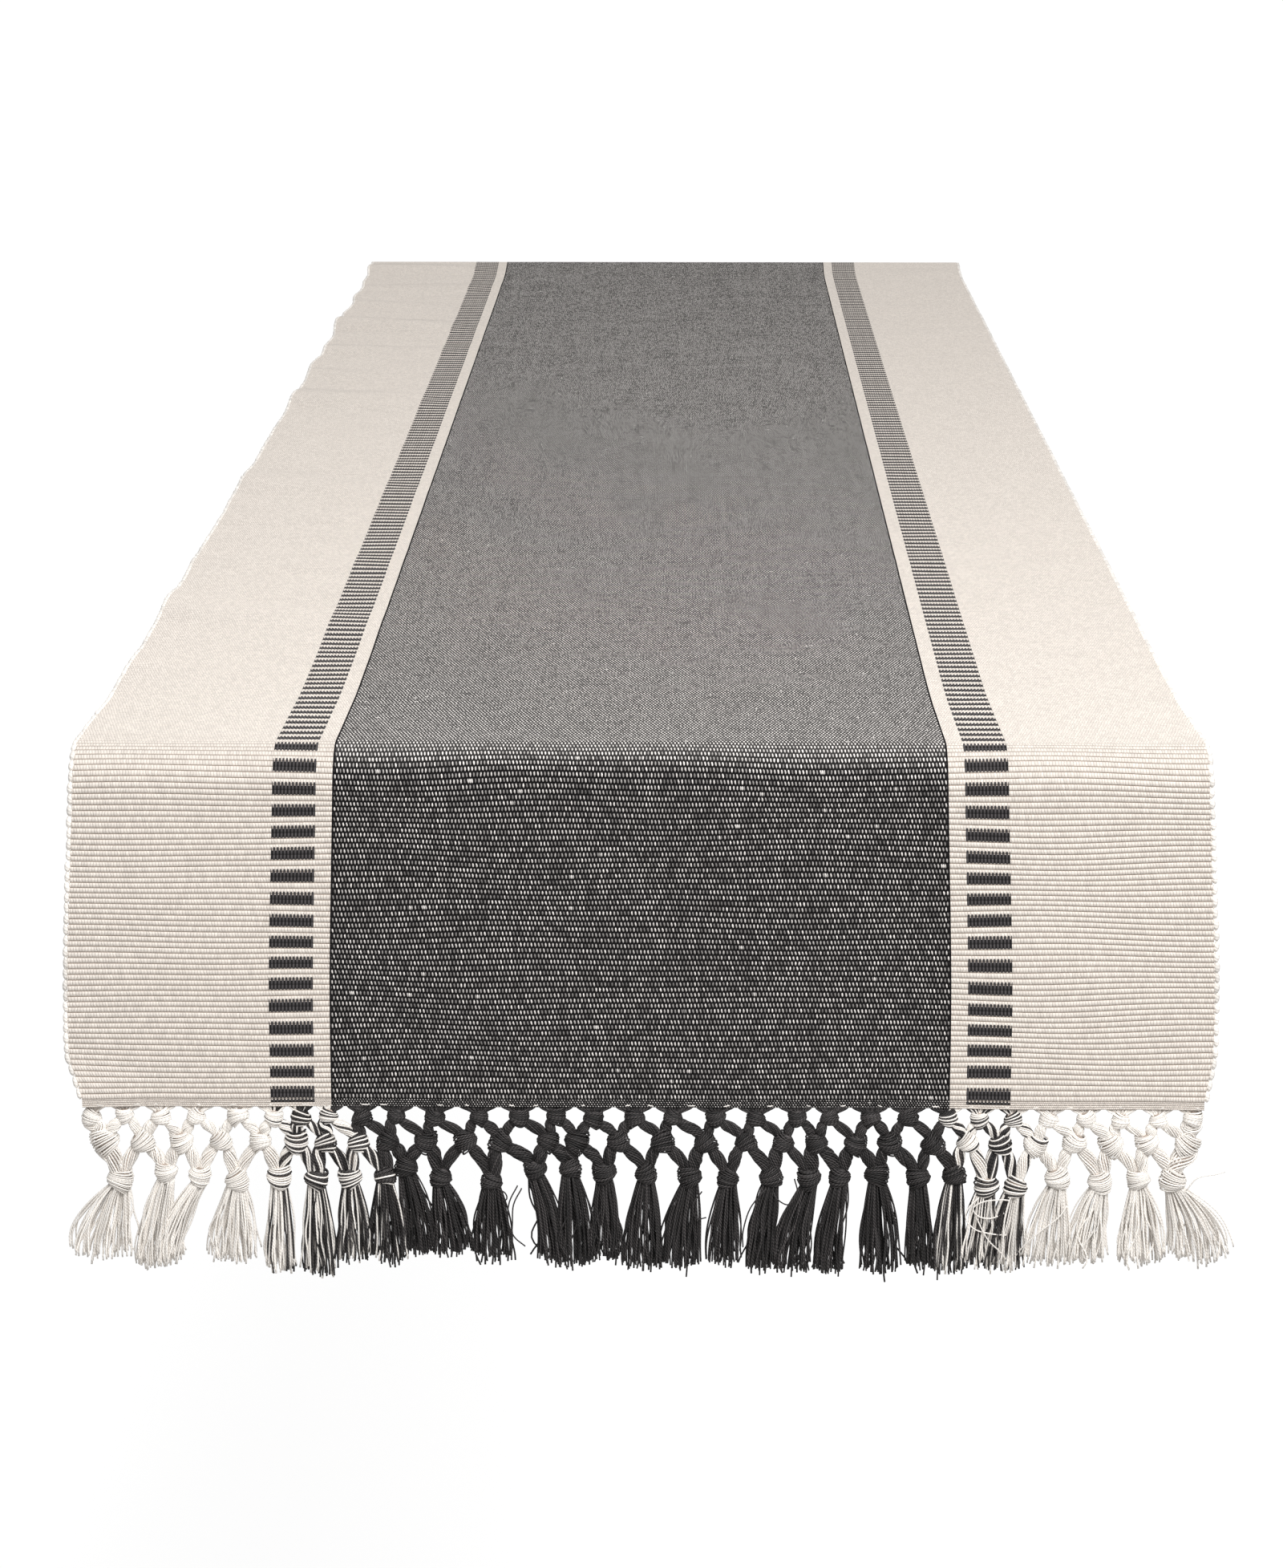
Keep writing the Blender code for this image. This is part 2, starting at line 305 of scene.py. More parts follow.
@dataclass(frozen=True)
class Drape:
    """How the cloth lies over its table: the flat part, two bends and two drops.

    Args:
        sizes: sizes of the frame.
        waist: how much narrower the cloth is in the middle of its length.
        bend_flare: how much it gains in width up to a bend.
        drop_flare: how much it gains on a drop.
        sag: how much the ribs open under their own weight on a drop, at the hem.
        corner: how far the bottom corners draw in, on the left. On the right it is less.
        corner_band: where across the cloth that starts and is full.
        loose_band: where across the cloth the left edge starts to wander and wanders fully.
        wander: how far the ribs stray from straight lines.
        ripple: lift of the flat part.
        edge_ripple: extra lift near the left selvedge.
        edge_wave: how far the left selvedge strays sideways.
        sway: how far a drop stands off its plane near the hem.
    """

    sizes: FrameSizes
    waist: float = 0.0135
    bend_flare: float = 0.0195
    drop_flare: float = 0.0210
    sag: float = 0.0003
    corner: float = 0.0046
    corner_band: tuple[float, float] = (0.165, 0.204)
    loose_band: tuple[float, float] = (0.14, 0.20)
    wander: Waves = Waves(11, 0.00040, 0.095, 0.070)
    ripple: Waves = Waves(12, 0.00022, 0.160, 0.120)
    edge_ripple: Waves = Waves(13, 0.00230, 0.450, 0.150)
    edge_wave: Waves = Waves(15, 0.00180, 1.500, 0.120)
    sway: Waves = Waves(14, 0.00060, 0.150, 0.300)

    def width_share(self, along: np.ndarray) -> np.ndarray:
        """Width of the cloth over its nominal width.

        Args:
            along: signed lengths of cloth from its middle.

        Returns:
            The share at each length.
        """
        sizes = self.sizes
        away = np.abs(along)
        share = 1.0 - self.waist
        near_bend = smooth(away, sizes.flat_half - 0.095, sizes.drop_start + 0.03)
        near_hem = smooth(away, sizes.flat_half + 0.01, sizes.cloth_half - 0.026)
        return share + self.bend_flare * near_bend + self.drop_flare * near_hem

    def place(self, across: np.ndarray, along: np.ndarray, out: np.ndarray) -> np.ndarray:
        """Points of the cloth in the row frame.

        Args:
            across: nominal places across the cloth.
            along: signed lengths of cloth from its middle.
            out: offsets from the middle of the cloth, outwards.

        Returns:
            Points, with their coordinates on the last axis.
        """
        sizes = self.sizes
        calm = 1 - smooth(np.abs(along), sizes.cloth_half - 0.012, sizes.cloth_half)
        along = along + calm * self.wander.at(across, along)
        side = np.where(along < 0, -1.0, 1.0)
        away = np.abs(along)
        turn = np.clip((away - sizes.flat_half) / sizes.bend, 0, math.pi / 2)
        down = np.clip(away - sizes.drop_start, 0, None)
        down = down * (1 + self.sag / (sizes.cloth_half + sizes.header_height - sizes.drop_start))
        on_table = 1 - smooth(away, sizes.flat_half - 0.05, sizes.flat_half)
        left = smooth(-across, 0.09, 0.20)
        lift = np.abs(self.ripple.at(across, along))
        lift = lift + left * np.clip(self.edge_ripple.at(across, along), 0, None)
        radius = sizes.bend + out
        y = np.minimum(away, sizes.flat_half) + radius * np.sin(turn)
        y = y + self.sway.at(across, 0 * along + side) * smooth(down, 0.0, 0.1)
        low = smooth(away, sizes.cloth_half - 0.018, sizes.cloth_half + 0.001)
        right_tuck = 0.6 * smooth(across, *self.corner_band)
        tuck = low * (smooth(-across, *self.corner_band) - right_tuck)
        y = y + 0.6 * self.corner * np.abs(tuck)
        z = sizes.thickness / 2 - sizes.bend + radius * np.cos(turn) - down + lift * on_table
        x = across * self.width_share(along) + self.corner * tuck
        towards_back = 0.15 + 0.85 * smooth(along, 0.05, 0.35)
        loose = smooth(-across, *self.loose_band) * towards_back * on_table
        x = x + self.edge_wave.at(0 * across, along) * loose
        return np.stack(np.broadcast_arrays(x, side * y, z), axis=-1)


# ---------------------------------------------------------------- meshes


class PieceMesh:
    """Gathers ringed bodies, such as yarns and strips, into one mesh.

    A body is a stack of rings of points. Its map gives each ring one point more than it has, so
    that the last face round it ends where the map does.
    """

    def __init__(self) -> None:
        """Start with nothing."""
        self.points: list[np.ndarray] = []
        self.quads: list[np.ndarray] = []
        self.maps: list[np.ndarray] = []
        self.bakes: list[np.ndarray] = []
        self.finishes: list[np.ndarray] = []
        self.point_count = 0
        self.body_count = 0

    @staticmethod
    def corners(grid: np.ndarray) -> np.ndarray:
        """Map at the four corners of each side face.

        Args:
            grid: map at each point: bodies, rings, points round and one more, 2.

        Returns:
            Bodies, rings less one, faces round, corners, 2.
        """
        low, high = grid[:, :-1], grid[:, 1:]
        parts = [low[:, :, :-1], low[:, :, 1:], high[:, :, 1:], high[:, :, :-1]]
        return np.stack(parts, axis=3)

    def add(
        self,
        points: np.ndarray,
        surface: np.ndarray,
        finish: np.ndarray | int = 0,
        looped: bool = False,
        bake: np.ndarray | None = None,
    ) -> None:
        """Add bodies that have the same number of rings.

        Args:
            points: bodies, rings, points round, 3.
            surface: bodies, rings (one more if looped), points round and one more, 2.
            finish: material number of each body.
            looped: whether the last ring joins the first. Otherwise both ends are closed.
            bake: corners on the texture, for a body that fills a texture by itself.
        """
        bodies, rings, around = points.shape[:3]
        base = np.arange(bodies * rings * around).reshape(bodies, rings, around)
        rows = np.concatenate([base, base[:, :1]], axis=1) if looped else base
        turned = np.roll(rows, -1, axis=2)
        side = np.stack([rows[:, :-1], turned[:, :-1], turned[:, 1:], rows[:, 1:]], axis=-1)
        quads = [side.reshape(-1, 4)]
        corners = self.corners(surface)
        maps = [corners.reshape(-1, 4, 2)]
        if bake is None:
            bake = self.corners(self.plain_bake(bodies, rows.shape[1], around))
        bakes = [bake.reshape(-1, 4, 2)]
        owner = [np.repeat(np.arange(bodies), (rows.shape[1] - 1) * around)]
        if not looped:
            for ring, flip in ((0, True), (rings - 1, False)):
                steps = np.arange(around // 2 - 1)
                order = np.stack(
                    [steps, steps + 1, around - 2 - steps, around - 1 - steps], axis=-1
                )
                order = order[:, ::-1] if flip else order
                cap = base[:, ring][:, order]
                quads.append(cap.reshape(-1, 4))
                maps.append(surface[:, ring][:, order].reshape(-1, 4, 2))
                row = bake.reshape(bodies, -1, around, 4, 2)[:, -1 if ring else 0]
                flat_row = row[:, :, 3 if ring else 0]
                bakes.append(flat_row[:, order].reshape(-1, 4, 2))
                owner.append(np.repeat(np.arange(bodies), len(steps)))
        faces = np.concatenate(quads)
        owners = np.concatenate(owner)
        flat_points = points.reshape(-1, 3)
        corner = flat_points[faces]
        volume = np.einsum("ij,ij->i", corner[:, 0], np.cross(corner[:, 1], corner[:, 2]))
        volume += np.einsum("ij,ij->i", corner[:, 0], np.cross(corner[:, 2], corner[:, 3]))
        if volume.sum() < 0:
            faces = faces[:, ::-1]
            maps = [m[:, ::-1] for m in maps]
            bakes = [m[:, ::-1] for m in bakes]
        self.points.append(flat_points)
        self.quads.append(faces + self.point_count)
        self.maps.append(np.concatenate(maps))
        whole = np.concatenate(bakes)
        self.bakes.append(np.concatenate([whole, self.owner_row(owners)], axis=-1))
        self.finishes.append(np.broadcast_to(finish, bodies)[owners])
        self.point_count += len(flat_points)
        self.body_count += bodies

    def owner_row(self, owners: np.ndarray) -> np.ndarray:
        """Body number of each face, at each of its corners.

        Args:
            owners: number of the body of each face among those being added.

        Returns:
            Faces, corners, 1.
        """
        number = (owners + self.body_count).astype(float)
        return np.repeat(number[:, None], 4, axis=1)[:, :, None]

    @staticmethod
    def plain_bake(bodies: int, rings: int, around: int) -> np.ndarray:
        """Map of each body onto its own unit square: round it, and along it.

        Args:
            bodies: number of bodies.
            rings: rings of each.
            around: points round each.

        Returns:
            Bodies, rings, points round and one more, 2.
        """
        u = np.linspace(0, 1, around + 1)[None, :]
        v = np.linspace(0, 1, rings)[:, None]
        grid = np.stack(np.broadcast_arrays(u, v), axis=-1)
        return np.broadcast_to(grid, (bodies, rings, around + 1, 2))

    def build(
        self, name: str, materials: Sequence[bpy.types.Material], crease: float | None = None
    ) -> bpy.types.Object:
        """Make the piece.

        Args:
            name: name of the piece.
            materials: its materials, in the order of the finish numbers.
            crease: angle in degrees above which an edge is drawn sharp.

        Returns:
            The new object, in the scene's collection.
        """
        points = np.concatenate(self.points)
        quads = np.concatenate(self.quads)
        mesh = bpy.data.meshes.new(name)
        mesh.vertices.add(len(points))
        mesh.vertices.foreach_set("co", points.astype(np.float32).ravel())
        mesh.loops.add(quads.size)
        mesh.loops.foreach_set("vertex_index", quads.astype(np.int32).ravel())
        mesh.polygons.add(len(quads))
        mesh.polygons.foreach_set("loop_start", np.arange(0, quads.size, 4, dtype=np.int32))
        mesh.polygons.foreach_set("use_smooth", np.ones(len(quads), dtype=bool))
        finish = np.concatenate(self.finishes).astype(np.int32)
        mesh.polygons.foreach_set("material_index", finish)
        for material in materials:
            mesh.materials.append(material)
        surface = np.concatenate(self.maps)
        mesh.uv_layers.new(name=WEAVE_MAP).uv.foreach_set(
            "vector", surface.astype(np.float32).ravel()
        )
        mesh.uv_layers.new(name=BAKE_MAP).uv.foreach_set(
            "vector", self.packed_bake().astype(np.float32).ravel()
        )
        mesh.update(calc_edges=True)
        if crease is not None:
            mesh.set_sharp_from_angle(angle=math.radians(crease))
        obj = bpy.data.objects.new(name, mesh)
        bpy.context.scene.collection.objects.link(obj)
        return obj

    def packed_bake(self) -> np.ndarray:
        """Texture map with each body in its own cell of a square grid of cells.

        Returns:
            Faces, corners, 2.
        """
        whole = np.concatenate(self.bakes)
        cells = math.ceil(math.sqrt(self.body_count))
        margin = 0.04 if self.body_count > 1 else 0.0
        local = margin + (1 - 2 * margin) * whole[..., :2]
        column = whole[..., 2] % cells
        row = whole[..., 2] // cells
        return (local + np.stack([column, row], axis=-1)) / cells


def unit(vectors: np.ndarray) -> np.ndarray:
    """Vectors made one long."""
    return vectors / np.maximum(np.linalg.norm(vectors, axis=-1, keepdims=True), 1e-12)


def yarn_rings(
    paths: np.ndarray,
    radii: np.ndarray,
    sides: int = 6,
    looped: bool = False,
    level: Sequence[float] = (0.0, 1.0, 0.0),
) -> np.ndarray:
    """Rings of points round yarns.

    Args:
        paths: yarns, points along, 3.
        radii: radius at each point along, or one for all.
        sides: points round.
        looped: whether each yarn closes on itself.
        level: a direction that no yarn runs in.

    Returns:
        Yarns, points along, points round, 3.
    """
    if looped:
        heading = np.roll(paths, -1, axis=1) - np.roll(paths, 1, axis=1)
    else:
        heading = np.gradient(paths, axis=1)
    heading = unit(heading)
    first = unit(np.cross(heading, np.asarray(level)))
    second = np.cross(heading, first)
    angle = np.linspace(0, 2 * math.pi, sides, endpoint=False)
    radius = np.broadcast_to(radii, paths.shape[:2])[..., None, None]
    spokes = first[:, :, None] * np.cos(angle)[:, None]
    spokes = spokes + second[:, :, None] * np.sin(angle)[:, None]
    return paths[:, :, None] + radius * spokes


def yarn_map(paths: np.ndarray, sides: int, first: int, looped: bool = False) -> np.ndarray:
    """Surface map of yarns: their number plus the share of the way round, and metres along.

    Args:
        paths: yarns, points along, 3.
        sides: points round.
        first: number of the first yarn.
        looped: whether each yarn closes on itself.

    Returns:
        Yarns, points along (one more if looped), points round and one more, 2.
    """
    line = np.concatenate([paths, paths[:, :1]], axis=1) if looped else paths
    steps = np.linalg.norm(np.diff(line, axis=1), axis=-1)
    run = np.concatenate([np.zeros((len(line), 1)), np.cumsum(steps, axis=1)], axis=1)
    number = first + np.arange(len(paths))[:, None, None]
    u = number + np.linspace(0, 1, sides + 1)[None, None, :]
    return np.stack(np.broadcast_arrays(u, run[:, :, None]), axis=-1)


def curve_between(
    starts: np.ndarray, aims: np.ndarray, brakes: np.ndarray, stops: np.ndarray, count: int
) -> np.ndarray:
    """Points along smooth curves.

    Args:
        starts: where they start.
        aims: what they set out towards.
        brakes: what they come in from.
        stops: where they end.
        count: points on each.

    Returns:
        Curves, points along, 3.
    """
    t = np.linspace(0, 1, count)[None, :, None]
    parts = [a[:, None] for a in (starts, aims, brakes, stops)]
    return (
        parts[0] * (1 - t) ** 3
        + parts[1] * 3 * t * (1 - t) ** 2
        + parts[2] * 3 * t**2 * (1 - t)
        + parts[3] * t**3
    )


# ---------------------------------------------------------------- materials


class Graph:
    """Adds nodes to a node tree and links them."""

    def __init__(self, tree: bpy.types.NodeTree) -> None:
        """Work on one tree."""
        self.tree = tree

    def node(self, kind: str, **settings: object) -> bpy.types.Node:
        """A new node with these properties set.

        Args:
            kind: kind of node.
            settings: its properties.

        Returns:
            The node.
        """
        made = self.tree.nodes.new(kind)
        for key, value in settings.items():
            setattr(made, key, value)
        return made

    def feed(self, socket: bpy.types.NodeSocket, value: object) -> None:
        """Link an output to a socket, or set a plain value on it.

        Args:
            socket: input to feed.
            value: output or value.
        """
        if isinstance(value, bpy.types.NodeSocket):
            self.tree.links.new(value, socket)
        else:
            socket.default_value = value

    def math(self, operation: str, *values: object) -> bpy.types.NodeSocket:
        """Result of a math operation.

        Args:
            operation: its name.
            values: outputs or numbers.

        Returns:
            The output that holds it.
        """
        made = self.node("ShaderNodeMath", operation=operation)
        for socket, value in zip(made.inputs, values):
            self.feed(socket, value)
        return made.outputs[0]

    def step(self, value: object, low: float, high: float) -> bpy.types.NodeSocket:
        """Rise from 0 at low to 1 at high with level ends. It falls where low is above high.

        Args:
            value: output or number.
            low: place of the 0.
            high: place of the 1.

        Returns:
            The output that holds it.
        """
        made = self.node("ShaderNodeMapRange", interpolation_type="SMOOTHSTEP")
        falling = low > high
        self.feed(made.inputs["Value"], value)
        made.inputs["From Min"].default_value = min(low, high)
        made.inputs["From Max"].default_value = max(low, high)
        made.inputs["To Min"].default_value = 1.0 if falling else 0.0
        made.inputs["To Max"].default_value = 0.0 if falling else 1.0
        return made.outputs["Result"]

    def mix(self, share: object, first: object, second: object) -> bpy.types.NodeSocket:
        """Colour this share of the way from the first to the second.

        Args:
            share: output or number.
            first: colour at 0.
            second: colour at 1.

        Returns:
            The output that holds it.
        """
        made = self.node("ShaderNodeMix", data_type="RGBA")
        self.feed(made.inputs[0], share)
        self.feed(made.inputs[6], first)
        self.feed(made.inputs[7], second)
        return made.outputs[2]

    def scaled(self, colour: object, share: object) -> bpy.types.NodeSocket:
        """Colour times a number.

        Args:
            colour: output or colour.
            share: output or number.

        Returns:
            The output that holds it.
        """
        made = self.node("ShaderNodeVectorMath", operation="SCALE")
        self.feed(made.inputs[0], colour)
        self.feed(made.inputs["Scale"], share)
        return made.outputs[0]

    def vector(self, x: object, y: object, z: object = 0.0) -> bpy.types.NodeSocket:
        """Three numbers as a vector.

        Args:
            x: output or number.
            y: the same.
            z: the same.

        Returns:
            The output that holds it.
        """
        made = self.node("ShaderNodeCombineXYZ")
        for socket, value in zip(made.inputs, (x, y, z)):
            self.feed(socket, value)
        return made.outputs[0]

    def split(self, vector: bpy.types.NodeSocket) -> list[bpy.types.NodeSocket]:
        """The three numbers of a vector.

        Args:
            vector: output to split.

        Returns:
            Three outputs.
        """
        made = self.node("ShaderNodeSeparateXYZ")
        self.feed(made.inputs[0], vector)
        return list(made.outputs)

    def noise(self, vector: bpy.types.NodeSocket, detail: float = 2.0) -> bpy.types.NodeSocket:
        """Soft noise between 0 and 1.

        Args:
            vector: where.
            detail: layers of finer noise.

        Returns:
            The output that holds it.
        """
        made = self.node("ShaderNodeTexNoise", noise_dimensions="3D")
        self.feed(made.inputs["Vector"], vector)
        made.inputs["Scale"].default_value = 1.0
        made.inputs["Detail"].default_value = detail
        return made.outputs[0]

    def chance(self, vector: bpy.types.NodeSocket) -> bpy.types.NodeSocket:
        """A number between 0 and 1 that is the same for the same vector.

        Args:
            vector: what it depends on.

        Returns:
            The output that holds it.
        """
        made = self.node("ShaderNodeTexWhiteNoise", noise_dimensions="3D")
        self.feed(made.inputs["Vector"], vector)
        return made.outputs["Value"]


class Effects:
    """Node groups that several finishes share, each built once."""

    def __init__(self) -> None:
        """Build the groups."""
        self.bead = self.build_bead()
        self.fibre = self.build_fibre()

    @staticmethod
    def new_group(
        name: str, inputs: dict[str, str], outputs: dict[str, str]
    ) -> tuple[bpy.types.NodeTree, Graph, bpy.types.Node, bpy.types.Node]:
        """An empty group with named sockets.

        Args:
            name: name of the group.
            inputs: kind of each input socket.
            outputs: kind of each output socket.

        Returns:
            The tree, its graph, and its input and output nodes.
        """
        tree = bpy.data.node_groups.new(name, "ShaderNodeTree")
        for label, kind in inputs.items():
            tree.interface.new_socket(name=label, in_out="INPUT", socket_type=kind)
        for label, kind in outputs.items():
            tree.interface.new_socket(name=label, in_out="OUTPUT", socket_type=kind)
        graph = Graph(tree)
        return tree, graph, graph.node("NodeGroupInput"), graph.node("NodeGroupOutput")

    def build_bead(self) -> bpy.types.NodeTree:
        """The weave's beads: one for each thread on each rib.

        Returns:
            The group.
        """
        number = "NodeSocketFloat"
        tree, graph, start, end = self.new_group(
            "woven_bead",
            {"Map": "NodeSocketVector", "Thread": number, "Stagger": number, "Slant": number},
            dict.fromkeys(
                ("Across", "Up", "Crest", "Round", "Odd", "Chance", "Slub", "Streak"), number
            ),
        )
        across, rib_place, _ = graph.split(start.outputs["Map"])
        thread = start.outputs["Thread"]
        rib = graph.math("FLOOR", rib_place)
        up = graph.math("SUBTRACT", graph.math("FRACT", rib_place), 0.5)
        second_row = graph.math("FLOORED_MODULO", rib, 2.0)
        row_shift = graph.math("MULTIPLY", second_row, start.outputs["Stagger"])
        lean = graph.math("MULTIPLY", up, start.outputs["Slant"])
        loose = graph.noise(graph.vector(graph.math("MULTIPLY", across, 260.0), rib_place))
        loose = graph.math("MULTIPLY", graph.math("SUBTRACT", loose, 0.5), 0.9)
        cell = graph.math("DIVIDE", across, thread)
        for shift in (row_shift, lean, loose):
            cell = graph.math("ADD", cell, shift)
        index = graph.math("FLOOR", cell)
        du = graph.math("SUBTRACT", graph.math("FRACT", cell), 0.5)
        odd = graph.math("FLOORED_MODULO", graph.math("ADD", index, rib), 2.0)
        flat = graph.math("MULTIPLY", graph.math("MULTIPLY", du, du), 3.9)
        rounded = graph.math("SQRT", graph.math("SUBTRACT", 1.0, flat))
        crest = graph.math("SINE", graph.math("MULTIPLY", graph.math("FRACT", rib_place), math.pi))
        slub_place = graph.vector(
            graph.math("MULTIPLY", across, 42.0), graph.math("MULTIPLY", rib, 7.31)
        )
        streak_place = graph.vector(
            graph.math("MULTIPLY", across, 170.0), graph.math("MULTIPLY", rib_place, 0.012)
        )
        made = {
            "Across": du,
            "Up": up,
            "Crest": crest,
            "Round": rounded,
            "Odd": odd,
            "Chance": graph.chance(graph.vector(index, rib)),
            "Slub": graph.noise(slub_place),
            "Streak": graph.noise(streak_place),
        }
        for label, value in made.items():
            graph.feed(end.inputs[label], value)
        return tree

    def build_fibre(self) -> bpy.types.NodeTree:
        """Cotton fibre: a colour that differs a little from thread to thread and along each.

        Returns:
            The group.
        """
        number = "NodeSocketFloat"
        tree, graph, start, end = self.new_group(
            "cotton_fibre",
            {
                "Colour": "NodeSocketColor",
                "Chance": number,
                "Place": "NodeSocketVector",
                "Spread": number,
            },
            {"Colour": "NodeSocketColor", "Fuzz": number},
        )
        fuzz = graph.noise(start.outputs["Place"], 3.0)
        sum_of = graph.math("SUBTRACT", graph.math("ADD", start.outputs["Chance"], fuzz), 1.0)
        share = graph.math("ADD", 1.0, graph.math("MULTIPLY", sum_of, start.outputs["Spread"]))
        graph.feed(end.inputs["Colour"], graph.scaled(start.outputs["Colour"], share))
        graph.feed(end.inputs["Fuzz"], fuzz)
        return tree


@dataclass(frozen=True)
class Cotton:
    """What every cotton finish shares.

    Args:
        ivory: natural cotton.
        ivory_shade: painted shade, natural cotton darkened where shade falls between its ribs, beads
            and plies.
        fleck: natural cotton of the pepper weave, which is cooler.
        cord: dyed cotton of a dash where it catches light.
        yarn_ivory: natural yarn of the fringe, which is bulkier, painted paler than the cloth's
            ivory as painted light that lifts the shade between its yarns.
        black: dyed cotton.
        black_light: painted highlight, a lighter black on the crests of the plies.
        roughness: of the threads.
        sheen: of the loose fibres.
        dyed_sheen: of the loose fibres of dyed cotton.
    """

    ivory: Colour = (0.835, 0.769, 0.702, 1.0)
    ivory_shade: Colour = (0.36, 0.280, 0.226, 1.0)
    fleck: Colour = (0.80, 0.762, 0.728, 1.0)
    cord: Colour = (0.105, 0.096, 0.098, 1.0)
    black: Colour = (0.0085, 0.0072, 0.0078, 1.0)
    black_light: Colour = (0.058, 0.052, 0.051, 1.0)
    yarn_ivory: Colour = (1.0, 0.955, 0.900, 1.0)
    roughness: float = 0.88
    sheen: float = 0.16
    dyed_sheen: float = 0.03

    def begin(
        self, name: str, dyed: bool
    ) -> tuple[bpy.types.Material, Graph, bpy.types.Node, bpy.types.NodeSocket]:
        """A cotton material with its shader set up.

        Args:
            name: name of the material.
            dyed: whether most of it is dyed.

        Returns:
            The material, its graph, its shader and the surface map.
        """
        material = bpy.data.materials.new(name)
        material.use_nodes = True
        graph = Graph(material.node_tree)
        shader = material.node_tree.nodes["Principled BSDF"]
        shader.inputs["Roughness"].default_value = self.roughness
        shader.inputs["Specular IOR Level"].default_value = 0.22
        shader.inputs["Sheen Weight"].default_value = self.dyed_sheen if dyed else self.sheen
        shader.inputs["Sheen Roughness"].default_value = 0.45
        surface = graph.node("ShaderNodeUVMap", uv_map=WEAVE_MAP).outputs["UV"]
        return material, graph, shader, surface

    @staticmethod
    def bump(
        graph: Graph, shader: bpy.types.Node, height: bpy.types.NodeSocket, depth: float
    ) -> None:
        """Raise the surface by a height between 0 and 1 times a depth.

        Args:
            graph: the material's graph.
            shader: its shader.
            height: output between 0 and 1.
            depth: in metres.
        """
        bump = graph.node("ShaderNodeBump")
        bump.inputs["Strength"].default_value = 1.0
        bump.inputs["Distance"].default_value = depth
        graph.feed(bump.inputs["Height"], height)
        graph.feed(shader.inputs["Normal"], bump.outputs["Normal"])

    @staticmethod
    def effect(graph: Graph, tree: bpy.types.NodeTree, **values: object) -> bpy.types.Node:
        """A shared group placed in this material with its own values.

        Args:
            graph: the material's graph.
            tree: the group.
            values: what its inputs get.

        Returns:
            The node that holds it.
        """
        group = graph.node("ShaderNodeGroup", node_tree=tree)
        for label, value in values.items():
            graph.feed(group.inputs[label], value)
        return group


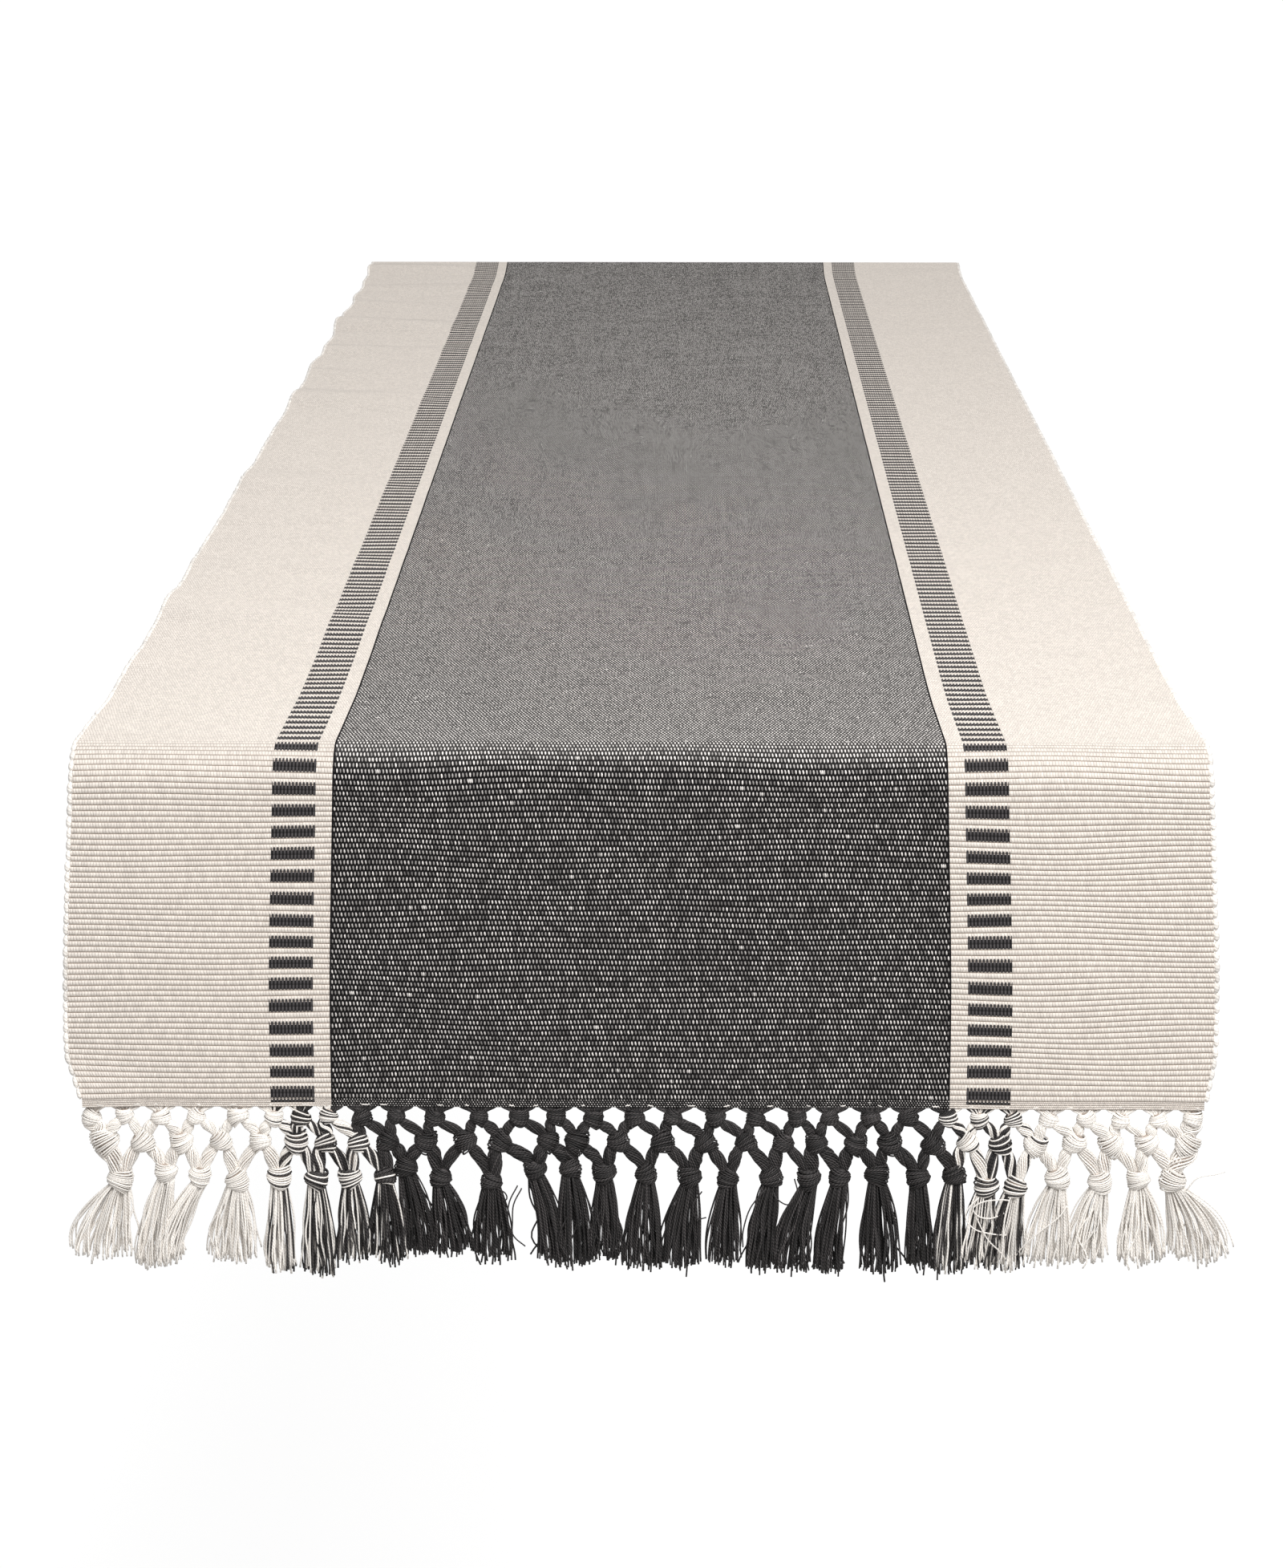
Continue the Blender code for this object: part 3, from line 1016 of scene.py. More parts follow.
@dataclass(frozen=True)
class WovenCotton:
    """A woven stripe.

    Args:
        name: name of the material.
        pattern: what it shows.
        thread: width of one thread.
        panel_half: half the width of the stripe about the runner's middle, whose outermost
            threads are all black, or 0.
        bead_height: how high an ivory bead of the pepper weave reaches, as a share of a rib.
        block: height of a dash, in ribs.
        block_repeat: ribs from one dash to the next.
        block_shift: ribs by which the dashes start before the middle of the runner.
        table_half: ribs from the runner's middle to a bend, or 0.
        table_gain: painted light: how much more ivory is painted where the weave lies flat, so the
            flat part looks lighter than the drops.
        table_drift: painted light falling off: how much of that gain is lost from the middle to the
            back, and won to the front.
    """

    name: str
    pattern: Pattern
    thread: float = 0.00063
    panel_half: float = 0.0
    bead_height: float = 0.37
    block: float = 2.45
    block_repeat: float = 4.0
    block_shift: float = 1.95
    table_half: float = 0.0
    table_gain: float = 0.96
    table_drift: float = 0.50

    def material(self, cotton: Cotton, effects: Effects) -> bpy.types.Material:
        """Build the material.

        Args:
            cotton: colours and sheen.
            effects: the shared groups.

        Returns:
            The material.
        """
        natural = self.pattern is not Pattern.PEPPER
        material, graph, shader, surface = cotton.begin(self.name, dyed=not natural)
        bead = cotton.effect(
            graph,
            effects.bead,
            Map=surface,
            Thread=self.thread * (1.66 if natural else 1.0),
            Stagger=0.5 if natural else 0.0,
            Slant=0.10 if natural else 0.35,
        ).outputs
        place = graph.node("ShaderNodeMapping")
        place.inputs["Scale"].default_value = (3400.0, 3.2, 1.0)
        graph.feed(place.inputs["Vector"], surface)
        if natural:
            colour = self.ivory(graph, cotton, bead)
        else:
            colour = graph.mix(self.pepper(graph, surface, bead), cotton.black, cotton.fleck)
        if self.pattern is Pattern.DASHED:
            share, cord = self.dashes(graph, surface)
            dark = graph.mix(cord, cotton.black, cotton.cord)
            colour = graph.mix(share, colour, dark)
        fibre = cotton.effect(
            graph,
            effects.fibre,
            Colour=colour,
            Chance=bead["Chance"],
            Place=place.outputs[0],
            Spread=0.16 if natural else 0.40,
        ).outputs
        graph.feed(shader.inputs["Base Color"], fibre["Colour"])
        height = graph.math("MULTIPLY", bead["Round"], bead["Crest"])
        height = graph.math("ADD", height, graph.math("MULTIPLY", fibre["Fuzz"], 0.25))
        cotton.bump(graph, shader, height, 0.00022)
        return material

    def ivory(self, graph: Graph, cotton: Cotton, bead: object) -> bpy.types.NodeSocket:
        """Natural threads with painted shade: darker between beads and between ribs, where shade
        falls.

        Args:
            graph: the material's graph.
            cotton: colours.
            bead: outputs of the bead group.

        Returns:
            The colour.
        """
        # Painted shade: the colour darkens in the valleys between ribs and in the gaps between
        # beads.
        valley = graph.step(bead["Crest"], 0.00, 0.36)
        between = graph.step(bead["Round"], 0.15, 0.80)
        lit = graph.math("ADD", 0.34, graph.math("MULTIPLY", between, 0.66))
        lit = graph.math("MULTIPLY", valley, lit)
        slub = graph.math("MULTIPLY", graph.step(bead["Slub"], 0.62, 0.72), 0.07)
        lit = graph.math("SUBTRACT", lit, slub)
        return graph.mix(lit, cotton.ivory_shade, cotton.ivory)

    def pepper(self, graph: Graph, surface: object, bead: object) -> bpy.types.NodeSocket:
        """Share of ivory in the pepper weave: an upright oval on every other thread.

        Args:
            graph: the material's graph.
            surface: the surface map.
            bead: outputs of the bead group.

        Returns:
            The share.
        """
        wide = graph.math("DIVIDE", graph.math("ABSOLUTE", bead["Across"]), 0.48)
        tall = graph.math("DIVIDE", graph.math("ABSOLUTE", bead["Up"]), self.bead_height)
        wide, tall = graph.math("POWER", wide, 2.0), graph.math("POWER", tall, 2.0)
        oval = graph.step(graph.math("ADD", wide, tall), 1.30, 0.60)
        share = graph.math("MULTIPLY", oval, bead["Odd"])
        vivid = graph.math("ADD", 0.30, graph.math("MULTIPLY", bead["Chance"], 0.62))
        slub = graph.math("MULTIPLY", graph.step(bead["Slub"], 0.54, 0.70), 0.40)
        streak = graph.math("ADD", 0.62, graph.math("MULTIPLY", bead["Streak"], 0.76))
        for part in (vivid, graph.math("SUBTRACT", 1.0, slub), streak):
            share = graph.math("MULTIPLY", share, part)
        # Painted light: more ivory where the weave lies flat, most towards the front.
        if self.table_half:
            share = self.opened(graph, surface, share)
        fleck = graph.math("MULTIPLY", graph.step(bead["Chance"], 0.996, 0.998), oval)
        share = graph.math("MAXIMUM", share, graph.math("MULTIPLY", fleck, 0.85))
        if self.panel_half:
            away = graph.math("ABSOLUTE", graph.split(surface)[0])
            rim = self.panel_half - self.thread
            share = graph.math("MULTIPLY", share, graph.step(away, rim + 0.0001, rim - 0.0001))
        return share

    def opened(self, graph: Graph, surface: object, share: object) -> bpy.types.NodeSocket:
        """Painted light: share of ivory where the weave lies flat, raised from the share it has on a
        drop, most at the front and least at the back.

        Args:
            graph: the material's graph.
            surface: the surface map.
            share: on a drop.

        Returns:
            The share.
        """
        rib_place = graph.split(surface)[1]
        away = graph.math("ABSOLUTE", rib_place)
        flat = graph.step(away, self.table_half + 8.0, self.table_half + 1.0)
        slope = -self.table_gain * self.table_drift / self.table_half
        drift = graph.math("MULTIPLY", rib_place, slope)
        more = graph.math("MULTIPLY", graph.math("ADD", drift, self.table_gain), flat)
        share = graph.math("MULTIPLY", share, graph.math("ADD", 1.0, more))
        return graph.math("ADD", share, graph.math("MULTIPLY", more, 0.052))

    def dashes(
        self, graph: Graph, surface: object
    ) -> tuple[bpy.types.NodeSocket, bpy.types.NodeSocket]:
        """Share of black in the dashes, and how much each cord of a dash catches the light.

        Args:
            graph: the material's graph.
            surface: the surface map.

        Returns:
            Both, between 0 and 1.
        """
        across, rib_place, _ = graph.split(surface)
        shifted = graph.math("ADD", rib_place, self.block_shift)
        part = graph.math("FLOORED_MODULO", shifted, self.block_repeat)
        pair = graph.math("FRACT", graph.math("DIVIDE", across, 2 * self.thread))
        off = graph.math("ABSOLUTE", graph.math("SUBTRACT", pair, 0.5))
        foot = graph.math("MULTIPLY", graph.math("MULTIPLY", off, off), 0.9)
        low = graph.step(graph.math("SUBTRACT", part, foot), -0.04, 0.10)
        between = graph.step(off, 0.24, 0.36)
        top = graph.math("SUBTRACT", self.block, graph.math("MULTIPLY", between, 0.60))
        high = graph.step(graph.math("SUBTRACT", top, part), -0.06, 0.10)
        cord = graph.step(off, 0.42, 0.05)
        return graph.math("MULTIPLY", low, high), graph.math("MULTIPLY", cord, 0.8)


@dataclass(frozen=True)
class LooseYarn:
    """Plied yarn of the fringe and the selvedges.

    Args:
        name: name of the material.
        dyed: whether it is black.
        ply: length of one turn of the plies.
        spread: how much yarns differ.
        shade: how much darker it is painted, as painted shade on what lies inside a knot.
    """

    name: str
    dyed: bool
    ply: float = 0.0013
    spread: float = 0.30
    shade: float = 0.0

    def material(self, cotton: Cotton, effects: Effects) -> bpy.types.Material:
        """Build the material.

        Args:
            cotton: colours and sheen.
            effects: the shared groups.

        Returns:
            The material.
        """
        material, graph, shader, surface = cotton.begin(self.name, dyed=self.dyed)
        if self.dyed:
            shader.inputs["Roughness"].default_value = 0.62
            shader.inputs["Specular IOR Level"].default_value = 0.42
        number, run, _ = graph.split(surface)
        strand = graph.math("FLOOR", number)
        turn = graph.math("DIVIDE", run, self.ply)
        twist = graph.math("ADD", graph.math("MULTIPLY", number, 2.0), turn)
        wave = graph.math("ABSOLUTE", graph.math("SINE", graph.math("MULTIPLY", twist, math.pi)))
        if self.dyed:
            # Painted highlight: the black yarn is lighter on the crests of its plies.
            bright = graph.step(wave, 0.30, 1.0)
            base = graph.mix(bright, cotton.black, cotton.black_light)
        else:
            # Painted shade: the ivory yarn is darker in the grooves between its plies.
            bright = graph.step(wave, 0.0, 0.55)
            lit = graph.math("ADD", 0.86, graph.math("MULTIPLY", bright, 0.14))
            # Painted shade: the whole yarn is darkened for what lies inside a knot.
            lit = graph.math("MULTIPLY", lit, 1.0 - self.shade)
            base = graph.mix(lit, cotton.ivory_shade, cotton.yarn_ivory)
        place = graph.node("ShaderNodeMapping")
        place.inputs["Scale"].default_value = (3.0, 900.0, 1.0)
        graph.feed(place.inputs["Vector"], surface)
        fibre = cotton.effect(
            graph,
            effects.fibre,
            Colour=base,
            Chance=graph.chance(graph.vector(strand, 0.5)),
            Place=place.outputs[0],
            Spread=self.spread,
        ).outputs
        graph.feed(shader.inputs["Base Color"], fibre["Colour"])
        cotton.bump(graph, shader, wave, 0.00010)
        return material


class Finishes:
    """All materials of the runner."""

    def __init__(self, sizes: FrameSizes, rib: float) -> None:
        """Build them for a runner of these sizes, with ribs of this length.

        Args:
            sizes: sizes of the frame.
            rib: length of one rib.
        """
        cotton = Cotton()
        effects = Effects()
        half = sizes.edges[4]
        table_half = sizes.flat_half / rib
        woven = {
            Pattern.NATURAL: WovenCotton("natural_weave", Pattern.NATURAL),
            Pattern.DASHED: WovenCotton("dashed_weave", Pattern.DASHED),
            Pattern.PEPPER: WovenCotton(
                "pepper_weave", Pattern.PEPPER, panel_half=half, table_half=table_half
            ),
        }
        fine = {
            Pattern.NATURAL: WovenCotton("natural_header", Pattern.NATURAL, thread=0.00042),
            Pattern.DASHED: WovenCotton("dashed_header", Pattern.DASHED, block=1.9),
            Pattern.PEPPER: WovenCotton(
                "pepper_header", Pattern.PEPPER, thread=0.00048, bead_height=0.30
            ),
        }
        self.woven = {key: finish.material(cotton, effects) for key, finish in woven.items()}
        self.fine = {key: finish.material(cotton, effects) for key, finish in fine.items()}
        self.ivory = LooseYarn("ivory_yarn", False).material(cotton, effects)
        self.charcoal = LooseYarn("charcoal_yarn", True, spread=1.25).material(cotton, effects)
        # Ivory yarn painted darker, as painted shade for the insides of knots and legs.
        self.inside = LooseYarn("inner_yarn", False, shade=0.85).material(cotton, effects)

    @property
    def yarns(self) -> list[bpy.types.Material]:
        """Materials of the fringe: ivory, charcoal, and ivory painted darker as painted shade inside
        a knot.
        """
        return [self.ivory, self.charcoal, self.inside]


# ---------------------------------------------------------------- cloth


@dataclass
class Cloth:
    """The woven body: seven stripes, each in a front and a back half, and four selvedges.

    Args:
        sizes: sizes of the frame.
        drape: how the cloth lies.
        rib_near: wanted length of one rib.
        valley: thickness between two ribs, as a share of the cloth's.
        step: length of a face across the cloth.
        drop_steps: faces over one rib on the drops.
        flat_steps: faces over one rib on the table.
        fine_ribs: ribs of a header.
        fine_steps: faces over one of them.
        fine_valley: thickness between two of them, as a share of the header's.
        stitches: bits of ivory thread along a hem.
        stitch_radius: of one of them.
        pieces: the pieces made so far, by name.
    """

    sizes: FrameSizes
    drape: Drape
    rib_near: float = 0.002018
    valley: float = 0.60
    step: float = 0.0045
    drop_steps: int = 6
    flat_steps: int = 4
    fine_ribs: int = 4
    fine_steps: int = 4
    fine_valley: float = 0.60
    stitches: int = 30
    stitch_radius: float = 0.00023
    pieces: dict[str, bpy.types.Object] = field(default_factory=dict)

    @property
    def rib_count(self) -> int:
        """Ribs from the middle to a header."""
        return round(self.sizes.cloth_half / self.rib_near)

    @property
    def rib(self) -> float:
        """Length of one rib."""
        return self.sizes.cloth_half / self.rib_count

    def rib_rows(self) -> tuple[np.ndarray, np.ndarray]:
        """Rows of points from the middle to a header.

        Returns:
            How many ribs along each row lies, and its share of the full thickness.
        """
        places, heights = [], []
        fine_from = self.sizes.flat_half / self.rib - 6
        for rib in range(self.rib_count):
            steps = self.drop_steps if rib > fine_from else self.flat_steps
            angle = np.arange(steps) * math.pi / steps
            places.append(rib + (1 - np.cos(angle)) / 2)
            heights.append(self.valley + (1 - self.valley) * np.sin(angle))
        places.append([float(self.rib_count)])
        heights.append([self.valley])
        return np.concatenate(places), np.concatenate(heights)

    def strip(
        self,
        mesh: PieceMesh,
        low: float,
        high: float,
        along: np.ndarray,
        ribs: np.ndarray,
        half_thickness: np.ndarray,
        finish: int,
        tracks: int,
    ) -> None:
        """Add one closed strip of cloth.

        Args:
            mesh: what it is added to.
            low: its left edge.
            high: its right edge.
            along: signed length of cloth of each row.
            ribs: signed rib place of each row.
            half_thickness: of each row.
            finish: material number.
            tracks: how many lengths it is cut into to fill its texture.
        """
        columns = max(2, math.ceil((high - low) / self.step) + 1)
        across = np.linspace(low, high, columns)
        ring_x = np.concatenate([across, across[::-1]])[None, :]
        upper = np.concatenate([np.ones(columns), -np.ones(columns)])[None, :]
        out = upper * half_thickness[:, None]
        points = self.drape.place(ring_x, along[:, None], out)[None]
        map_x = np.concatenate([ring_x, ring_x[:, :1]], axis=1)
        surface = np.stack(np.broadcast_arrays(map_x, ribs[:, None]), axis=-1)[None]
        share = np.linspace(0, tracks, len(along))[:, None]
        around = np.linspace(0, 1, 2 * columns + 1)[None, :]
        grid = np.stack(np.broadcast_arrays(share, around), axis=-1)[None]
        bake = PieceMesh.corners(grid)
        track = np.floor(bake[..., 0].mean(axis=3, keepdims=True))
        bake = np.stack([bake[..., 0] - track, (bake[..., 1] + track) / tracks], axis=-1)
        mesh.add(points, surface, finish, bake=bake)

    def build_half(self, band: int, end: End, finishes: Finishes) -> bpy.types.Object:
        """One stripe from the middle of the runner to one header.

        Args:
            band: number of the stripe.
            end: which end.
            finishes: the materials.

        Returns:
            The piece.
        """
        spec = BANDS[band]
        places, heights = self.rib_rows()
        low, high = self.sizes.edges[band], self.sizes.edges[band + 1]
        mesh = PieceMesh()
        tracks = max(1, round(math.sqrt(self.sizes.cloth_half / (2 * (high - low))) * 1.4))
        half = heights * self.sizes.thickness / 2
        ribs = end.value * places
        self.strip(mesh, low, high, ribs * self.rib, ribs, half, 0, tracks)
        name = f"{spec.name}_{end.label}_cloth"
        piece = mesh.build(name, [finishes.woven[spec.pattern]], CREASE)
        self.hang(piece, end)
        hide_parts(f"{spec.name}_top", f"{spec.name}_{end.label}_drop")
        self.pieces[name] = piece
        return piece

    def hang(self, piece: bpy.types.Object, end: End) -> None:
        """Bake the transform of a piece that crosses the bend into its mesh. It is not attached to
        the flat part or the drop.
        """
        start, stop = self.sizes.ends_of_bend(end)
        f"{end.label}_drop"
        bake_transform(piece)

    def build_selvedge(self, hand: int, end: End, finishes: Finishes) -> bpy.types.Object:
        """The loops of the crosswise yarn along one edge, each over two ribs.

        Args:
            hand: -1 for the left edge and 1 for the right.
            end: which end.
            finishes: the materials.

        Returns:
            The piece.
        """
        sizes = self.sizes
        rng = np.random.default_rng(40 + 2 * hand + end.value)
        count = self.rib_count // 2
        middle = (np.arange(count) + 0.5) * 2 * self.rib
        share = np.linspace(-1, 1, 9)
        length = 2 * self.rib * 0.56 * rng.uniform(0.88, 1.08, (count, 1))
        along = end.value * (middle[:, None] + share * length)
        room = sizes.half_width - sizes.edges[7]
        across = hand * (sizes.edges[7] + room * rng.uniform(0.34, 0.47, (count, 1)))
        across = across + hand * 0.00035 * rng.uniform(-1, 1, (count, 1)) * share
        out = rng.uniform(-1, 1, (count, 1)) * 0.00015 + 0 * share
        paths = self.drape.place(across, along, out)
        swell = np.sqrt(np.clip(1 - (share * 0.985) ** 2, 0, 1))
        radii = room * 0.56 * swell * rng.uniform(0.9, 1.12, (count, 1))
        mesh = PieceMesh()
        mesh.add(yarn_rings(paths, radii, 8, level=(1.0, 0.0, 0.0)), yarn_map(paths, 8, 0))
        side = "left" if hand < 0 else "right"
        name = f"{side}_selvedge_{end.label}_loops"
        piece = mesh.build(name, [finishes.ivory])
        self.hang(piece, end)
        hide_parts(f"{side}_selvedge_top", f"{side}_selvedge_{end.label}_drop")
        self.pieces[name] = piece
        return piece

    def build_header(self, end: End, finishes: Finishes) -> bpy.types.Object:
        """The finely woven strip between the ribs and the hem.

        Args:
            end: which end.
            finishes: the materials.

        Returns:
            The piece.
        """
        sizes = self.sizes
        count, valley = self.fine_ribs, self.fine_valley
        angle = np.arange(self.fine_steps) * math.pi / self.fine_steps
        places = np.concatenate([rib + (1 - np.cos(angle)) / 2 for rib in range(count)])
        heights = np.tile(valley + (1 - valley) * np.sin(angle), count)
        places, heights = np.append(places, count), np.append(heights, valley)
        along = end.value * (sizes.cloth_half + places * sizes.header_height / count)
        mesh = PieceMesh()
        for number, (low, high) in enumerate(zip(sizes.edges, sizes.edges[1:])):
            half = heights * sizes.header_thickness / 2
            self.strip(mesh, low, high, along, count - places, half, number, 1)
        materials = [finishes.fine[band.pattern] for band in BANDS] + [finishes.ivory]
        self.add_stitches(mesh, end, len(BANDS))
        name = f"{end.label}_header_weave"
        piece = mesh.build(name, materials, CREASE)
        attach(piece, f"{end.label}_drop")
        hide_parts(f"{end.label}_header")
        self.pieces[name] = piece
        return piece

    def add_stitches(self, mesh: PieceMesh, end: End, finish: int) -> None:
        """Add the bits of ivory thread that show along the hem.

        Args:
            mesh: what they are added to.
            end: which end.
            finish: their material number.
        """
        sizes = self.sizes
        rng = np.random.default_rng(60 + end.value)
        count = self.stitches
        half = sizes.edges[7] * 0.97
        middle = np.linspace(-half, half, count) + rng.uniform(-1, 1, count) * 0.004
        share = np.linspace(-1, 1, 7)
        across = middle[:, None] + share * rng.uniform(0.0008, 0.0024, (count, 1))
        slope = rng.uniform(-1, 1, (count, 1)) * 0.0005 * share
        along = sizes.cloth_half + sizes.header_height - 0.0007 + slope - 0.0002 * share**2
        out = sizes.header_thickness / 2 - 0.00010 - 0.0003 * share**2
        paths = self.drape.place(across, end.value * along, out + 0 * across)
        radii = self.stitch_radius * np.sqrt(1.02 - share**2) + 0 * across
        mesh.add(yarn_rings(paths, radii, 6, level=(0.0, 0.0, 1.0)), yarn_map(paths, 6, 0), finish)

    def declare(self) -> None:
        """Look up the cloth piece of each stripe at least a centimetre wide, at both ends."""
        sizes = self.sizes
        for end in End:
            trim = {
                "left_border": [f"left_selvedge_{end.label}_loops"],
                "right_border": [f"right_selvedge_{end.label}_loops"],
                "centre_panel": [
                    f"left_stripe_{end.label}_cloth",
                    f"right_stripe_{end.label}_cloth",
                    f"{end.label}_header_weave",
                ],
            }
            for number, band in enumerate(BANDS):
                width = sizes.edges[number + 1] - sizes.edges[number]
                if width < 0.01:
                    continue
                self.pieces[f"{band.name}_{end.label}_cloth"]

    def build(self, finishes: Finishes) -> None:
        """Build the whole cloth.

        Args:
            finishes: the materials.
        """
        for end in End:
            for band in range(len(BANDS)):
                report(self.build_half(band, end, finishes))
            for hand in (-1, 1):
                report(self.build_selvedge(hand, end, finishes))
            report(self.build_header(end, finishes))
        self.declare()


# ---------------------------------------------------------------- fringe


@dataclass(frozen=True)
class FringeLayout:
    """Where the knots and tassels of one end sit, in millimetres.

    Args:
        first: places across of the first row of knots.
        second: places across of the second row.
        third: places across of the third row, one for each tassel.
        lower: how much lower than its row each knot of the third row sits.
        lean: how far sideways each tassel hangs.
        spread: half the width of each tassel at its tips.
        length: from the hem to the tips of each tassel.
        threads: loose threads, each with its tassel, 1 if it is black, and the places (across,
            down) it passes.
    """

    first: tuple[float, ...]
    second: tuple[float, ...]
    third: tuple[float, ...]
    lower: tuple[float, ...]
    lean: tuple[float, ...]
    spread: tuple[float, ...]
    length: tuple[float, ...]
    threads: tuple[tuple[int, int, tuple[tuple[float, float], ...]], ...] = ()

    @classmethod
    def chance(cls, seed: int, half: float, tassels: int) -> "FringeLayout":
        """A layout drawn at random.

        Args:
            seed: starts the random choice.
            half: half the width of the cloth.
            tassels: number of tassels.

        Returns:
            The layout.
        """
        rng = np.random.default_rng(seed)
        rows = []
        for row, (inset, stray) in enumerate(((4.0, 2.0), (7.5, 2.4), (12.0, 3.0))):
            count = tassels + 2 - row
            even = np.linspace(inset - half, half - inset, count)
            drift = 3.0 * np.sin(even / 31.0 + rng.uniform(0, 6))
            drift = drift * np.cos(even / half * math.pi / 2)
            rows.append(tuple(even + drift + rng.uniform(-0.5, 0.5, count) * stray))
        return cls(
            *rows,
            lower=tuple(rng.uniform(-3, 4, tassels)),
            lean=tuple(rng.normal(0, 3.0, tassels)),
            spread=tuple(rng.uniform(5, 9, tassels)),
            length=tuple(rng.uniform(56, 62, tassels)),
        )


FRONT_LAYOUT = FringeLayout(
    first=(-199, -187, -174, -161, -146, -133, -123, -113, -101, -88.5, -74.5, -58.5, -44, -30.5)
    + (-17, -2, 12, 27.5, 42, 57, 68.5, 83.5, 97, 111.5, 123, 135, 148, 161.5, 174, 187.5, 200),
    second=(-194.5, -181, -166.5, -152.5, -138, -125, -114.5, -102.5, -91.5, -78, -63.5, -50.5)
    + (-33.5, -23, -8, 8, 23.5, 38, 52, 64, 78, 90.5, 106, 118.5, 130.5, 143, 157.5, 171, 184, 198),
    third=(-189.5, -172.5, -160.5, -147, -131.5, -118, -105.5, -93, -85, -72.5, -54, -38, -25.5, -13)
    + (2, 18, 32, 47.5, 61.5, 72.5, 86, 101, 114, 126, 136.5, 151.5, 167, 181, 193.5),
    lower=(2, -1, 0.5, 2, 0.6, 1.6, 1, 0, -3.5, 0.5, 2, -2.5, -3, -1.5, -1)
    + (0, 0.5, 0, 0.5, 0, -1, 0, -1, 3.5, 3.5, 0, 1.5, 0.5, 0.5),
    lean=(-7, -5.5, -12, -2, 0, 1, 0.5, 1, 4, 4, 0, 6, 1.5, 0.5, -1)
    + (-3.5, -1.5, -3.5, -7, -4, 1.5, 1, -1.5, -2, -4, -3, -5, 1.5, 10),
    spread=(12, 6.5, 5, 9, 5.5, 6.5, 6.5, 7, 6.5, 7.5, 7.5, 5.5, 7.5, 5.5, 8)
    + (7.5, 6, 5.5, 7.5, 5.5, 7.5, 5, 6, 6, 7.5, 9, 8, 9, 12),
    length=(57, 60, 58, 58, 61, 63, 57, 58, 55, 55, 57, 57, 59, 56, 60)
    + (59, 58, 60, 61, 61, 61, 59, 61, 58, 60, 58, 57, 58, 57),
    threads=(
        (23, 0, ((134, 34), (131, 33.5), (125, 34), (121, 36.5), (123, 40), (128, 41), (133.5, 39))),
        (23, 0, ((123, 33), (119, 37), (118.5, 41), (122, 45), (128, 47), (133.5, 48))),
        (23, 0, ((121.5, 39), (126, 48), (130.5, 53), (134, 58))),
        (25, 0, ((155, 36), (152, 40), (146, 45), (140, 51), (137, 56))),
        (28, 0, ((198, 30), (201, 25.5), (204, 24), (208, 23.8), (212, 23.4))),
        (11, 1, ((-44.5, 29), (-47.5, 35), (-48, 42), (-46, 48.5), (-42, 53))),
        (11, 1, ((-43, 30), (-46, 36), (-46.5, 44), (-47, 50))),
        (10, 1, ((-52, 30), (-49, 31.5), (-48.5, 34), (-50.5, 36))),
        (16, 1, ((22.5, 31), (19.5, 35), (19.5, 39), (21, 41.5), (24, 41.7))),
        (17, 1, ((45.5, 30), (40, 37), (37.5, 46), (37.5, 53))),
        (18, 1, ((56, 26), (57, 31), (54, 35.5), (50, 34), (48, 31))),
    ),
)


